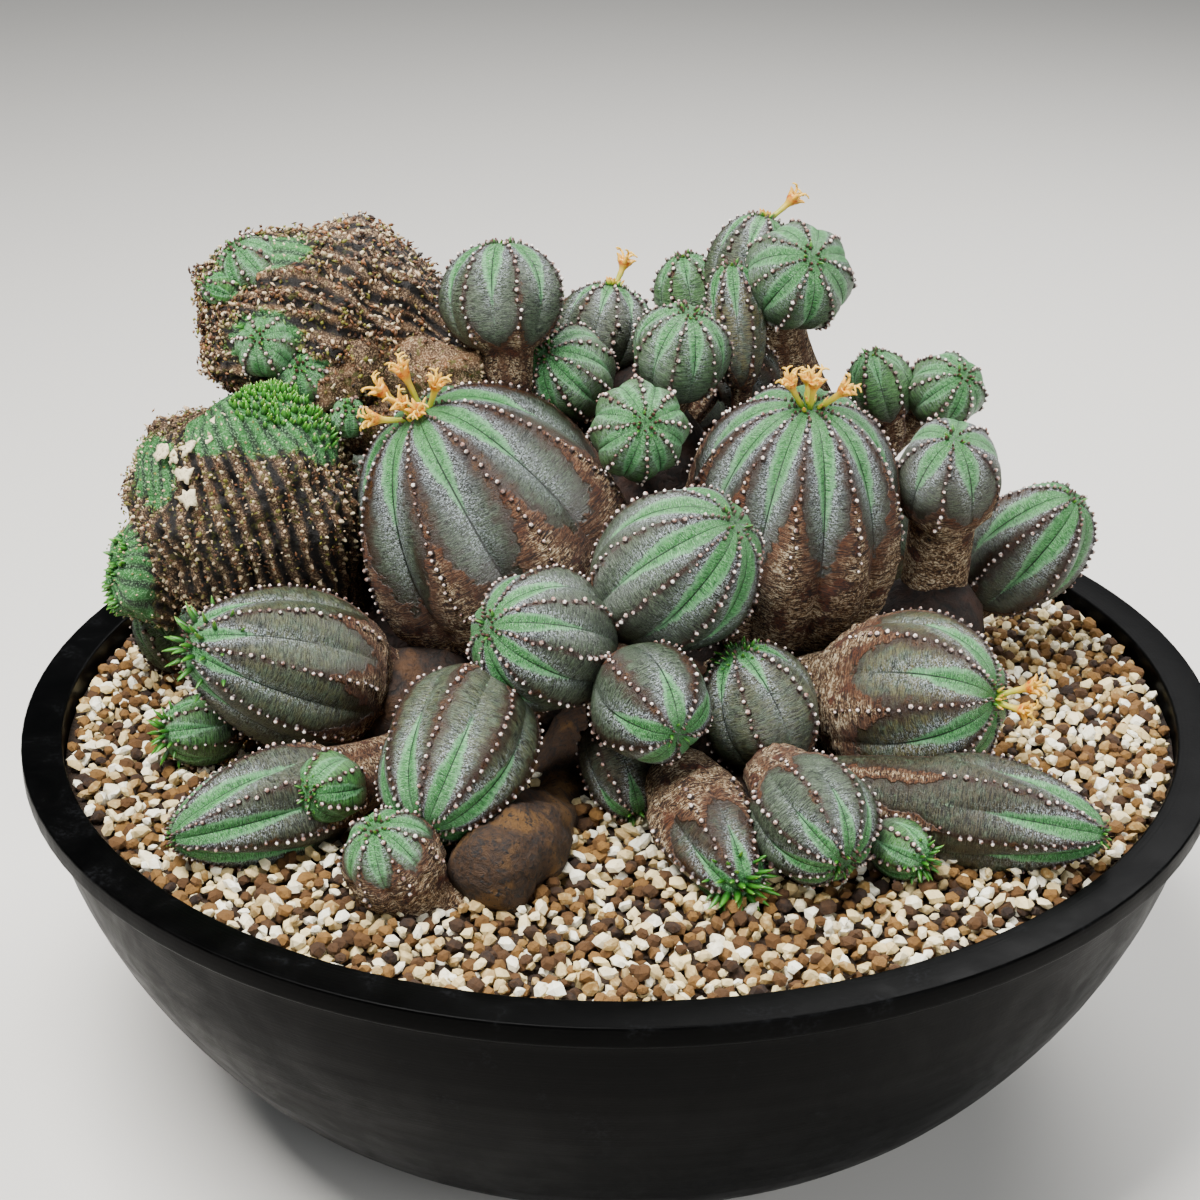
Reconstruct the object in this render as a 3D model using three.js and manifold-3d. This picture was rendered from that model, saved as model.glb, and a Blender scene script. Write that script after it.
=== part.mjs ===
// A clump of ribbed, globular succulent stems with two crested stems, planted in a
// shallow round bowl of mixed grit. Millimetres, +Z up, and the origin is at the
// middle of the underside of the bowl's foot.
import * as THREE from "three";
import { mergeVertices } from "three/addons/utils/BufferGeometryUtils.js";
import Module from "manifold-3d";

const wasm = await Module();
wasm.setup();

const vec = (x, y, z) => new THREE.Vector3(x, y, z);
const UP = vec(0, 0, 1);

// Bowl
const BOWL_SEGMENTS = 28;
const RIM_RADIUS = 150;
const RIM_TOP = 100;
const LIP_DEPTH = 5;
const LIP_WIDTH = 10;
const LIP_BAND = 10;
const WALL = 3.5;
const BASE_TOP = 9;
const BASE_UNDER = 4;
const FOOT_OUTER = 66;
const FOOT_INNER = 58;
const DRAIN_RADIUS = 8;
const SIDE_DRAIN_RADIUS = 4;
const SIDE_DRAIN_RING = 38;
// Outer wall under the lip, from the foot upwards: radius and height.
const BOWL_SIDE = [
  [69, 6],
  [90, 10],
  [110, 23],
  [128, 46],
  [140, 70],
  [147, 94],
];

// Grit
const GRIT_TOP = 96.5;
const GRIT_MOUND = 3;
const GRIT_BUMP = 1.5;
const GRIT_STEP = 11;
const GRIT_CORE_RADIUS = 84;

// Clearance between two pieces that touch
const GAP = 0.3;
const SWELL_PASSES = 80;
const MERGE_WITHIN = 0.001;

// Stems: the height of a tubercle, and angles from the apex in radians
const TUBERCLE = 0.7;
const LOWEST_TUBERCLE = 2.5;
const LAST_RING = 0.3;
const CREST_LAST_RING = 0.16;
const DIMPLE_SPREAD = 0.35;
const RIB_FADE = 0.9;

// Small leaves round an apex
const LEAF_TURN = 2.4;
const LEAF_WIDTH = 1.1;
const LEAF_LENGTH = 6;
const LEAF_DEPTH = 2;
const LEAF_SPREAD = 1.6;

// Flowers: the stalk, its cup and the arms on the cup's rim
const STALK_RADIUS = 0.9;
const CUP_RADIUS = 1.6;
const ARM_REACH = 3.4;
const ARM_RISE = 2.6;

const COLOURS = {
  bowl: [0x17181b, 0.45],
  grit: [0xcbb487, 0.95],
  bark: [0x6b4430, 0.9],
  stem: [0x4f6b52, 0.6],
  crest: [0x6e5a45, 0.9],
  flower: [0xe0b04a, 0.6],
};

// The same draw of random numbers on every run.
function seeded(seed) {
  let state = seed;
  return () => {
    state = (state * 1664525 + 1013904223) % 4294967296;
    return state / 4294967296;
  };
}

// A closed skin over rings of equal count, each turning left about the way they go.
function skin(rings, first, last) {
  const count = rings[0].length;
  const points = [...rings.flat(), first, last];
  const faces = [];
  const firstAt = points.length - 2;
  const lastAt = points.length - 1;
  const top = (rings.length - 1) * count;
  for (let i = 0; i < count; i++) {
    const next = (i + 1) % count;
    faces.push([firstAt, next, i], [lastAt, top + i, top + next]);
    for (let k = 0; k < rings.length - 1; k++) {
      const low = k * count;
      const high = low + count;
      faces.push([low + i, low + next, high + next], [low + i, high + next, high + i]);
    }
  }
  return { points, faces };
}

// The same shape grown: each point moves until every face round it has moved out enough.
function swell(shape, by) {
  const around = shape.points.map(() => []);
  for (const corners of shape.faces) {
    const [p, q, r] = corners.map((i) => shape.points[i]);
    const normal = q.clone().sub(p).cross(r.clone().sub(p)).normalize();
    for (const i of corners) around[i].push(normal);
  }
  const points = shape.points.map((p, i) => {
    const move = vec(0, 0, 0);
    for (let pass = 0; pass < SWELL_PASSES; pass++) {
      for (const normal of around[i]) move.addScaledVector(normal, Math.max(0, by - normal.dot(move)));
    }
    return p.clone().add(move);
  });
  return { points, faces: shape.faces };
}

function solidOf(shape) {
  const vertProperties = new Float32Array(shape.points.flatMap((p) => [p.x, p.y, p.z]));
  const triVerts = new Uint32Array(shape.faces.flat());
  return new wasm.Manifold(new wasm.Mesh({ numProp: 3, vertProperties, triVerts }));
}

// A three.js geometry with its shared vertices merged, as a solid.
function solidFrom(geometry) {
  geometry.deleteAttribute("normal");
  geometry.deleteAttribute("uv");
  const merged = mergeVertices(geometry, MERGE_WITHIN);
  const mesh = { numProp: 3, vertProperties: merged.attributes.position.array };
  return new wasm.Manifold(new wasm.Mesh({ ...mesh, triVerts: new Uint32Array(merged.index.array) }));
}

const union = (solids) => solids.reduce((whole, next) => whole.add(next));

// The largest body of a solid, without the scraps that a cut leaves.
function largestBody(solid) {
  const bodies = solid.decompose();
  return bodies.reduce((best, body) => (body.volume() > best.volume() ? body : best));
}

// Two directions across an axis, the first as near as can be to the side asked for.
function across(axis, side) {
  const wanted = side ?? (Math.abs(axis.dot(UP)) > 0.95 ? vec(1, 0, 0) : axis.clone().cross(UP));
  const u = wanted.clone().addScaledVector(axis, -wanted.dot(axis)).normalize();
  return [u, axis.clone().cross(u)];
}

// A round bar through the points, with a radius at each, closed by shallow domes.
function limb(points, radii, sides) {
  const way = (k) => {
    const before = points[Math.max(k - 1, 0)];
    const after = points[Math.min(k + 1, points.length - 1)];
    return after.clone().sub(before).normalize();
  };
  const rings = points.map((p, k) => {
    const [u, v] = across(way(k));
    return Array.from({ length: sides }, (_, i) => {
      const turn = (2 * Math.PI * i) / sides;
      return p
        .clone()
        .addScaledVector(u, radii[k] * Math.cos(turn))
        .addScaledVector(v, radii[k] * Math.sin(turn));
    });
  });
  const last = points.length - 1;
  const dome = 0.4;
  const first = points[0].clone().addScaledVector(way(0), -dome * radii[0]);
  const end = points[last].clone().addScaledVector(way(last), dome * radii[last]);
  return skin(rings, first, end);
}

// A small pointed leaf, its root sunk at the point given.
function spike(root, way, length, width) {
  const [u, v] = across(way);
  const ring = [0, 1, 2].map((i) =>
    root
      .clone()
      .addScaledVector(u, width * Math.cos((2 * Math.PI * i) / 3))
      .addScaledVector(v, width * Math.sin((2 * Math.PI * i) / 3)),
  );
  const back = root.clone().addScaledVector(way, -width);
  return skin([ring], back, root.clone().addScaledVector(way, length));
}

// Ribbed stems. `at` is the middle of the swollen body, `tip` the way its apex points,
// `r` its radius, `h` half its length, and `root` the point where its neck starts.
// The neck narrows to that point, or is a stalk of full width from the shares given.
const STEM_DEFAULTS = {
  ribs: 8,
  rings: 6,
  stalk: [],
  depth: 0.1,
  fuller: 0,
  point: 1,
  turn: 0,
  neck: 0.42,
  wide: 1,
  square: 0.7,
  droop: 0,
  dimple: 0.05,
  leaves: 0,
  leafLength: LEAF_LENGTH,
};

// Radius and reach along the axis, as shares, at an angle from the apex.
function profile(stem, angle) {
  const radius = Math.sin(angle) ** stem.point * (1 + stem.fuller * Math.cos(angle));
  const dip = stem.dimple * Math.exp(-((angle / DIMPLE_SPREAD) ** 2));
  return [radius, Math.cos(angle) - dip];
}

function apexOf(stem) {
  return stem.at.clone().addScaledVector(stem.tip, stem.h * profile(stem, 0)[1]);
}

function ribbedBody(stem) {
  const count = stem.ribs * 2;
  const [u, v] = across(stem.tip, stem.side);
  const turn = THREE.MathUtils.degToRad(stem.turn);
  const start = Math.PI - Math.asin(Math.min(0.9, stem.neck));
  const end = stem.wide > 1 ? CREST_LAST_RING : LAST_RING;
  const rings = [];

  const neckRadius = stem.r * stem.neck;
  const collar = stem.at.clone().addScaledVector(stem.tip, stem.h * profile(stem, start)[1]);
  const reach = stem.root.distanceTo(collar) * 0.5;
  const bend = collar.clone().addScaledVector(stem.tip, -reach);
  const neckPath = new THREE.QuadraticBezierCurve3(stem.root, bend, collar);
  for (const share of stem.stalk) {
    const middle = neckPath.getPoint(share);
    const [nu, nv] = across(neckPath.getTangent(share), u);
    rings.push(
      Array.from({ length: count }, (_, i) => {
        const a = turn + (2 * Math.PI * i) / count;
        return middle
          .clone()
          .addScaledVector(nu, neckRadius * Math.cos(a))
          .addScaledVector(nv, neckRadius * Math.sin(a));
      }),
    );
  }

  for (let k = 0; k < stem.rings; k++) {
    const angle = start + ((end - start) * k) / (stem.rings - 1);
    const [share, along] = profile(stem, angle);
    const ribbed = stem.depth * THREE.MathUtils.smoothstep(start - angle, 0, RIB_FADE);
    rings.push(
      Array.from({ length: count }, (_, i) => {
        const a = turn + (2 * Math.PI * i) / count;
        const groove = i % 2 ? 1 - ribbed : 1;
        const tooth = i % 2 === 0 && k % 2 && angle < LOWEST_TUBERCLE ? TUBERCLE : 0;
        const radius = stem.r * share * groove + tooth;
        const spread = stem.wide > 1 ? stem.wide * Math.sin(angle) ** -stem.square : 1;
        const sideways = radius * Math.cos(a) * spread;
        const sag = stem.droop * (sideways / (stem.r * stem.wide)) ** 2 * Math.max(0, along);
        return stem.at
          .clone()
          .addScaledVector(u, sideways)
          .addScaledVector(v, radius * Math.sin(a))
          .addScaledVector(stem.tip, stem.h * along * (1 - sag));
      }),
    );
  }
  return skin(rings, stem.root.clone(), apexOf(stem));
}

// Fleshy little leaves in a spiral round the apex.
function apexLeaves(stem) {
  const [u, v] = across(stem.tip);
  const apex = apexOf(stem);
  return Array.from({ length: stem.leaves }, (_, i) => {
    const turn = i * LEAF_TURN;
    const lean = 0.35 + (0.9 * i) / stem.leaves;
    const out = u.clone().multiplyScalar(Math.cos(turn)).addScaledVector(v, Math.sin(turn));
    const way = stem.tip.clone().multiplyScalar(Math.cos(lean)).addScaledVector(out, Math.sin(lean));
    const root = apex
      .clone()
      .addScaledVector(stem.tip, -LEAF_DEPTH)
      .addScaledVector(out, LEAF_SPREAD * lean);
    return spike(root, way, stem.leafLength, LEAF_WIDTH);
  });
}

const stem = (name, at, tip, r, h, root, more = {}) => ({
  ...STEM_DEFAULTS,
  name,
  at: vec(...at),
  tip: vec(...tip).normalize(),
  r,
  h,
  root: vec(...root),
  ...more,
});

// The two oldest stems, which the trunk and the rest grow round.
const OLD_STEMS = [
  stem("stem_old_left", [-32, -8, 148], [-0.44, -0.16, 0.88], 34, 38, [-16, 6, 92], {
    rings: 9,
    fuller: -0.12,
    turn: 12,
    depth: 0.13,
  }),
  stem("stem_old_right", [42, -5, 147], [0.08, -0.25, 1], 28.5, 38, [38, 4, 92], {
    ribs: 10,
    rings: 8,
    turn: 12,
    depth: 0.12,
  }),
];

// Crested stems: broad, with many narrow ribs that fan to a line instead of a point.
const CRESTS = [
  stem("crest_lower", [-91, -4, 153.5], [-0.3, -0.1, 0.95], 20, 26, [-76, 8, 104], {
    ribs: 14,
    rings: 6,
    depth: 0.08,
    wide: 1.42,
    square: 0.62,
    droop: 0.15,
    side: vec(1, 0.15, 0.3),
    neck: 0.6,
    dimple: 0,
  }),
  stem("crest_upper", [-73.5, 20, 194], [-0.97, -0.12, -0.03], 17.2, 30, [-36, 24, 178], {
    ribs: 14,
    rings: 6,
    depth: 0.08,
    wide: 1.2,
    square: 0.42,
    side: vec(0.25, 0.4, 0.85),
    neck: 0.8,
    dimple: 0,
  }),
  stem("crest_lobe", [-119.5, 12, 128], [-0.75, -0.3, 0.2], 14.5, 12, [-97, 4, 138], {
    ribs: 9,
    rings: 5,
    depth: 0.1,
    neck: 0.6,
  }),
];

// The round stems that the clump shows from the front, nearest first in each group.
const STEMS = [
  stem("stem_front_centre", [12.4, -45, 153], [0.65, -0.27, 0.71], 19, 21, [2, -6, 132], { rings: 7 }),
  stem("stem_front_centre_left", [-17.4, -57, 141], [-0.73, -0.5, 0.45], 16.5, 18, [-8, -22, 128], {
    turn: 8,
    rings: 7,
  }),
  stem("stem_front_low", [6.3, -72, 133], [0.43, -0.89, -0.11], 13.8, 14.5, [4, -34, 118], {
    ribs: 5,
    turn: 21,
  }),
  stem("stem_front_shaded", [0, -58, 109], [0.3, -0.62, -0.62], 9.5, 13, [2, -28, 108], {
    ribs: 6,
    turn: 15,
    leaves: 5,
  }),
  stem("stem_mid_right", [32, -56, 123], [-0.37, 0.1, 0.92], 14.3, 16, [30, -24, 113], {
    ribs: 6,
    turn: 9,
    leaves: 7,
    leafLength: 4,
  }),
  stem("stem_right_large", [68, -45, 119.5], [0.83, -0.48, 0.27], 21.5, 24, [20, -8, 108], {
    ribs: 7,
    rings: 7,
    turn: 34,
  }),
  stem("stem_left_large", [-79.5, -38, 125], [-0.82, -0.36, 0.42], 19.5, 27, [-42, -20, 112], {
    turn: 20,
    rings: 7,
    fuller: -0.15,
    point: 1.1,
    leaves: 7,
    leafLength: 6,
  }),
  stem("stem_front_left", [-37, -75, 120.5], [-0.3, -0.87, -0.39], 17.8, 22, [-22, -44, 112], {
    rings: 7,
    fuller: -0.08,
    leaves: 4,
    leafLength: 4,
  }),
  stem("stem_front_left_low", [-50, -97, 107], [-0.3, -0.3, 0.9], 11.5, 12, [-38, -91, 99], {
    ribs: 7,
    turn: 3,
    leaves: 4,
    leafLength: 3.5,
  }),
  stem("stem_left_bud", [-66.5, -73, 111.5], [-0.45, -0.83, 0.3], 8.6, 9, [-47, -34, 107], {
    ribs: 6,
    turn: 43,
    rings: 5,
    leaves: 7,
    leafLength: 4,
  }),
  stem("stem_left_lying", [-81.5, -73, 106], [-0.83, -0.53, -0.02], 14, 24, [-50, -34, 106], {
    ribs: 7,
    turn: 21,
    fuller: -0.2,
    point: 1.25,
    depth: 0.2,
  }),
  stem("stem_far_left_bud", [-101, -34, 106], [-0.9, -0.3, 0.05], 9, 10.5, [-65, -30, 110], {
    ribs: 6,
    rings: 5,
    leaves: 7,
    leafLength: 5,
  }),
  stem("stem_far_left_rear", [-118, 16, 107], [-0.5, 0.1, 0.85], 8, 11, [-78, 8, 110], {
    ribs: 6,
    rings: 5,
  }),
  stem("stem_right_low", [42, -89, 112.5], [0.45, -0.84, -0.29], 14.2, 15, [32, -58, 104], {
    turn: 20,
    leaves: 7,
    leafLength: 4,
  }),
  stem("stem_centre_lying", [20, -85, 106.5], [0.36, -0.85, -0.3], 12, 19, [14, -48, 104], {
    ribs: 6,
    fuller: -0.15,
    depth: 0.18,
    leaves: 10,
    leafLength: 9,
  }),
  stem("stem_right_bud", [62, -87, 104], [0.7, -0.68, -0.1], 7, 8, [35, -62, 103], {
    ribs: 6,
    rings: 5,
    leaves: 6,
    leafLength: 4.5,
  }),
  stem("stem_right_lying", [85, -77, 107], [0.94, -0.3, -0.04], 13, 25, [31, -50, 103], {
    ribs: 6,
    fuller: -0.18,
    point: 1.2,
    depth: 0.2,
    leaves: 5,
    leafLength: 3.5,
  }),
  stem("stem_right_stalked", [81, 0, 158], [-0.02, -0.5, 0.87], 13.6, 16, [80, 8, 112], {
    ribs: 5,
    turn: 6,
    neck: 0.62,
    stalk: [0, 0.55],
  }),
  stem("stem_far_right", [106, 24, 129], [0.5, -0.3, 0.75], 16, 21, [78, 14, 106], {
    ribs: 6,
    turn: 51,
    rings: 9,
    fuller: -0.1,
    depth: 0.16,
  }),
  stem("stem_top_left", [-28.2, 10, 201], [-0.05, 0.3, 0.95], 15.8, 14, [-20, 26, 162], {
    ribs: 7,
    turn: 29,
  }),
  stem("stem_top_inner_left", [-13, 14, 180], [-0.46, -0.58, 0.67], 12.4, 12.5, [-2, 26, 158], {
    turn: 43,
  }),
  stem("stem_top_centre", [4.4, -15, 176], [0.12, -0.86, 0.5], 12.2, 12.2, [4, 14, 158], {
    leaves: 4,
    leafLength: 2.5,
  }),
  stem("stem_top_inner_right", [15, 10, 187], [0.15, -0.25, 0.95], 12.3, 12.5, [8, 26, 158], {
    ribs: 7,
    turn: 1,
  }),
  stem("stem_top_rear", [-4, 35, 184.5], [0.2, 0.3, 0.93], 13, 12, [0, 32, 160], {}),
  stem("stem_top_right", [44.4, 30, 199.7], [0.2, -0.78, 0.62], 14, 14.5, [54, 34, 156], {
    ribs: 7,
    turn: 11,
    neck: 0.5,
    stalk: [0.1, 0.6],
  }),
  stem("stem_top_right_rear", [34, 47, 196], [0.25, 0.3, 0.92], 12.5, 15, [12, 34, 152], {}),
  stem("stem_top_column", [29.4, 26, 188], [-0.1, 0.1, 0.99], 7.5, 17, [20, 30, 152], {
    ribs: 6,
    fuller: 0.1,
  }),
  stem("stem_top_rear_left", [18.5, 50, 189], [-0.2, 0.1, 0.97], 9.5, 11, [14, 42, 156], {
    ribs: 6,
    rings: 5,
    stalk: [0],
  }),
  stem("stem_top_small", [33, 37, 171], [-0.3, -0.4, 0.86], 9, 10, [12, 32, 152], {
    ribs: 6,
    rings: 5,
  }),
  stem("stem_rear_right_inner", [70.5, 60, 160], [-0.3, 0, 0.95], 9.5, 10.5, [48, 59, 128], {
    ribs: 6,
    rings: 5,
    stalk: [0],
  }),
  stem("stem_rear_right_outer", [87.5, 58, 159.5], [0.38, -0.62, 0.65], 10.8, 10.5, [56, 60, 122], {
    ribs: 7,
    turn: 38,
    rings: 5,
    stalk: [0],
  }),
];

// Stems at the back of the clump, which stand lower than those in front of them.
const REAR_STEMS = [
  stem("stem_back_left", [-62, 62, 124], [-0.5, 0.7, 0.5], 20, 22, [-14, 28, 110], { rings: 6 }),
  stem("stem_back_centre", [-16, 82, 124], [-0.1, 0.85, 0.5], 21, 23, [-4, 46, 110], { rings: 6 }),
  stem("stem_back_right", [32, 84, 116], [0.3, 0.9, 0.3], 17, 20, [16, 52, 108], {}),
  stem("stem_back_far_right", [72, 64, 118], [0.6, 0.75, 0.3], 17, 19, [42, 44, 108], {}),
  stem("stem_back_upper", [-34, 52, 158], [-0.35, 0.6, 0.7], 16, 17, [-8, 36, 140], {}),
  stem("stem_back_upper_right", [16, 68, 155], [0.1, 0.8, 0.6], 14.5, 15, [8, 44, 136], {}),
  stem("stem_back_low_left", [-96, 48, 108], [-0.75, 0.6, 0.2], 11, 13, [-64, 18, 106], {
    ribs: 6,
    rings: 5,
    stalk: [0],
  }),
];

// The corky trunk and its branches, mostly hidden: points, radii, and sides.
const TRUNK_LIMBS = [
  [
    [[2, 12, 46], [2, 12, 84], [2, 14, 104], [2, 22, 134], [4, 28, 158], [6, 30, 168]],
    [9, 26, 34, 27, 20, 12],
    8,
  ],
  [[[-6, -20, 96], [-16, -54, 94], [-23, -82, 103], [-28, -96, 104.5]], [14, 8, 11, 10], 8],
  [[[-18, -6, 104], [-52, -30, 110], [-64, -34, 112]], [18, 14, 9], 6],
  [[[24, 6, 100], [60, 10, 106], [84, 8, 116]], [20, 15, 12], 6],
  [[[-20, 8, 100], [-66, 8, 108], [-84, 4, 124]], [20, 16, 14], 6],
  [[[14, -14, 100], [24, -44, 101], [30, -66, 101]], [16, 12, 9], 6],
  [[[-4, 24, 140], [-28, 28, 160], [-44, 26, 170]], [18, 14, 12], 6],
  [[[4, 26, 104], [4, 58, 106], [22, 66, 104]], [22, 16, 10], 6],
  [[[14, 32, 112], [44, 54, 120], [54, 60, 128]], [18, 14, 9], 6],
  [[[26, 34, 112], [48, 38, 136], [54, 34, 158]], [13, 10, 7], 6],
];
const ROOTS = [
  [[[0, 10, 70], [-34, 2, 56], [-56, -2, 42]], [9, 6, 2.5], 5],
  [[[0, 10, 70], [36, 6, 54], [58, 16, 40]], [9, 6, 2.5], 5],
  [[[0, 10, 66], [6, 42, 50], [2, 62, 38]], [9, 5, 2.5], 5],
  [[[0, 10, 66], [-4, -26, 50], [2, -52, 36]], [9, 5, 2.5], 5],
];

// Flowers: each stalk leans `out` towards a compass `turn`, from a pad on the apex.
const FLOWERS = [
  {
    name: "flowers_old_left",
    on: "stem_old_left",
    pad: 4.5,
    stalks: [
      { turn: 205, out: 0.9, length: 10 },
      { turn: 160, out: 0.45, length: 10.5 },
      { turn: 250, out: 0.35, length: 7 },
      { turn: 20, out: 0.1, length: 13 },
      { turn: 350, out: 0.75, length: 9 },
      { turn: 290, out: 0.7, length: 5 },
    ],
  },
  {
    name: "flowers_old_right",
    on: "stem_old_right",
    pad: 4.5,
    stalks: [
      { turn: 190, out: 0.5, length: 8.5 },
      { turn: 270, out: 0.15, length: 9 },
      { turn: 350, out: 0.7, length: 8.5 },
      { turn: 100, out: 0.4, length: 6 },
    ],
  },
  {
    name: "flowers_right_large",
    on: "stem_right_large",
    pad: 2.8,
    stalks: [
      { turn: 60, out: 0.25, length: 9 },
      { turn: 260, out: 0.3, length: 7.5 },
    ],
  },
  {
    name: "flowers_top_right",
    on: "stem_top_right_rear",
    pad: 2.4,
    stalks: [{ turn: 0, out: 0.6, length: 8.5 }],
  },
  {
    name: "flowers_top_rear",
    on: "stem_top_rear",
    pad: 2.4,
    stalks: [{ turn: 20, out: 0.2, length: 7 }],
  },
];

// A stalk that widens to a cup with three arms at its rim.
function flower(at, way) {
  const [u, v] = across(way);
  const ring = (share, radii) =>
    radii.map((radius, i) =>
      at(share)
        .addScaledVector(u, radius * Math.cos((Math.PI * i) / 3))
        .addScaledVector(v, radius * Math.sin((Math.PI * i) / 3)),
    );
  const stalk = Array(6).fill(STALK_RADIUS);
  const cup = ring(0.95, [0, 1, 2, 3, 4, 5].map((i) => (i % 2 ? CUP_RADIUS : ARM_REACH)));
  for (const i of [0, 2, 4]) cup[i].addScaledVector(way, ARM_RISE);
  return skin([ring(-0.1, stalk), ring(0.7, stalk), cup], at(-0.15), at(0.85));
}

function flowerShapes(bunch, host) {
  const [u, v] = across(host.tip, vec(1, 0, 0));
  const apex = apexOf(host);
  const padPoints = [-2, 0.8].map((rise) => apex.clone().addScaledVector(host.tip, rise));
  const shapes = [limb(padPoints, [bunch.pad, bunch.pad * 0.7], 6)];
  for (const { turn, out, length } of bunch.stalks) {
    const a = THREE.MathUtils.degToRad(turn);
    const side = u.clone().multiplyScalar(Math.cos(a)).addScaledVector(v, Math.sin(a));
    const way = host.tip.clone().multiplyScalar(Math.cos(out)).addScaledVector(side, Math.sin(out));
    const foot = apex.clone().addScaledVector(side, bunch.pad * 0.6 * Math.min(1, out + 0.2));
    const at = (share) => foot.clone().addScaledVector(way, length * share);
    shapes.push(flower(at, way));
  }
  return shapes;
}

// Pieces in the order that they claim their space: each is cut clear of those before it.
const pieces = [];

function overlaps(a, b) {
  return a.min.every((low, i) => low <= b.max[i]) && b.min.every((low, i) => low <= a.max[i]);
}

function addPiece(name, colour, shapes) {
  let solid = union(shapes.map(solidOf));
  for (const other of pieces) {
    if (overlaps(solid.boundingBox(), other.guard.boundingBox())) solid = solid.subtract(other.guard);
  }
  const guard = union(shapes.map((shape) => solidOf(swell(shape, GAP))));
  pieces.push({ name, colour, solid: largestBody(solid), guard });
}

const stemShapes = (one) => [ribbedBody(one), ...apexLeaves(one)];
const limbShape = ([points, radii, sides]) => limb(points.map((p) => vec(...p)), radii, sides);

for (const one of OLD_STEMS) addPiece(one.name, "stem", stemShapes(one));
addPiece("trunk", "bark", [...TRUNK_LIMBS, ...ROOTS].map(limbShape));
for (const one of CRESTS) addPiece(one.name, "crest", stemShapes(one));
for (const one of [...STEMS, ...REAR_STEMS]) addPiece(one.name, "stem", stemShapes(one));

const hosts = new Map([...OLD_STEMS, ...STEMS].map((one) => [one.name, one]));
for (const bunch of FLOWERS) addPiece(bunch.name, "flower", flowerShapes(bunch, hosts.get(bunch.on)));

// Bowl wall: the outside from the foot up, over the lip, and the inside back down.
const innerRim = RIM_RADIUS - LIP_WIDTH;
const innerSide = [
  ...BOWL_SIDE.slice(1, -1).map(([r, z], i) => [r - WALL, i === 0 ? BASE_TOP + WALL : z + 1]),
  [innerRim, RIM_TOP - LIP_BAND],
];

const bowlProfile = [
  [0, BASE_UNDER],
  [FOOT_INNER - 2, BASE_UNDER],
  [FOOT_INNER, 0],
  [FOOT_OUTER, 0],
  ...BOWL_SIDE,
  [RIM_RADIUS, RIM_TOP - LIP_DEPTH],
  [RIM_RADIUS, RIM_TOP],
  [innerRim, RIM_TOP],
  ...innerSide.slice().reverse(),
  [0, BASE_TOP],
].map(([r, z]) => new THREE.Vector2(r, z));

// An upright drain hole through the base.
function drain(x, y, radius) {
  const bar = new THREE.CylinderGeometry(radius, radius, 3 * BASE_TOP, 8);
  return solidFrom(bar.rotateX(Math.PI / 2).translate(x, y, 0));
}

const sideDrains = [45, 135, 225, 315].map((degrees) => {
  const a = THREE.MathUtils.degToRad(degrees);
  return drain(SIDE_DRAIN_RING * Math.cos(a), SIDE_DRAIN_RING * Math.sin(a), SIDE_DRAIN_RADIUS);
});
const bowl = solidFrom(new THREE.LatheGeometry(bowlProfile, BOWL_SEGMENTS).rotateX(Math.PI / 2))
  .subtract(drain(0, 0, DRAIN_RADIUS))
  .subtract(union(sideDrains));

// Two rings of points, each in order round the same axis, joined by a strip of faces.
// A ring of one point makes a fan.
function joinRings(faces, inner, outer) {
  const innerEnd = inner.count === 1 ? 0 : inner.count;
  const outerEnd = outer.count === 1 ? 0 : outer.count;
  let [i, j] = [0, 0];
  const at = (ring, k) => ring.start + (k % ring.count);
  while (i < innerEnd || j < outerEnd) {
    const moveInner = j === outerEnd || (i < innerEnd && (i + 1) / inner.count < (j + 1) / outer.count);
    if (moveInner) {
      faces.push([at(inner, i), at(outer, j), at(inner, i + 1)]);
      i++;
    } else {
      faces.push([at(inner, i), at(outer, j), at(outer, j + 1)]);
      j++;
    }
  }
}

// The grit fills the bowl a hair clear of its wall. Its top is a field of grain-like
// bumps on a low mound, coarse in the middle, where the clump covers it.
function gritFill() {
  const random = seeded(11);
  const points = [vec(0, 0, GRIT_TOP + GRIT_MOUND)];
  const faces = [];
  const edge = innerRim - GAP;
  const steps = Math.floor((edge - GRIT_CORE_RADIUS) / GRIT_STEP);
  const fineRings = Array.from({ length: steps }, (_, k) => GRIT_CORE_RADIUS + k * GRIT_STEP);
  const coarseRings = [0.3, 0.55, 0.8].map((share) => share * GRIT_CORE_RADIUS);
  let inner = { start: 0, count: 1 };
  for (const r of [...coarseRings, ...fineRings]) {
    const count = r < GRIT_CORE_RADIUS ? 12 : Math.round((2 * Math.PI * r) / GRIT_STEP);
    const outer = { start: points.length, count };
    for (let i = 0; i < count; i++) {
      const a = (2 * Math.PI * (i + 0.4 * random())) / count;
      const reach = r + (random() - 0.5) * 0.4 * GRIT_STEP;
      const mound = GRIT_MOUND * Math.max(0, 1 - (r / edge) ** 2);
      const bump = (random() < 0.5 ? 1 : -1) * GRIT_BUMP * (0.5 + 0.5 * random());
      points.push(vec(reach * Math.cos(a), reach * Math.sin(a), GRIT_TOP + mound + bump));
    }
    joinRings(faces, inner, outer);
    inner = outer;
  }
  const wall = [[edge, GRIT_TOP], ...innerSide.map(([r, z]) => [r - GAP, z + GAP]).reverse()];
  for (const [r, z] of wall) {
    const outer = { start: points.length, count: BOWL_SEGMENTS };
    for (let i = 0; i < BOWL_SEGMENTS; i++) {
      const a = (2 * Math.PI * i) / BOWL_SEGMENTS;
      points.push(vec(r * Math.cos(a), r * Math.sin(a), z));
    }
    joinRings(faces, inner, outer);
    inner = outer;
  }
  const floor = { start: points.length, count: 1 };
  points.push(vec(0, 0, BASE_TOP + GAP));
  joinRings(faces, inner, floor);
  return solidOf({ points, faces });
}

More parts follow.
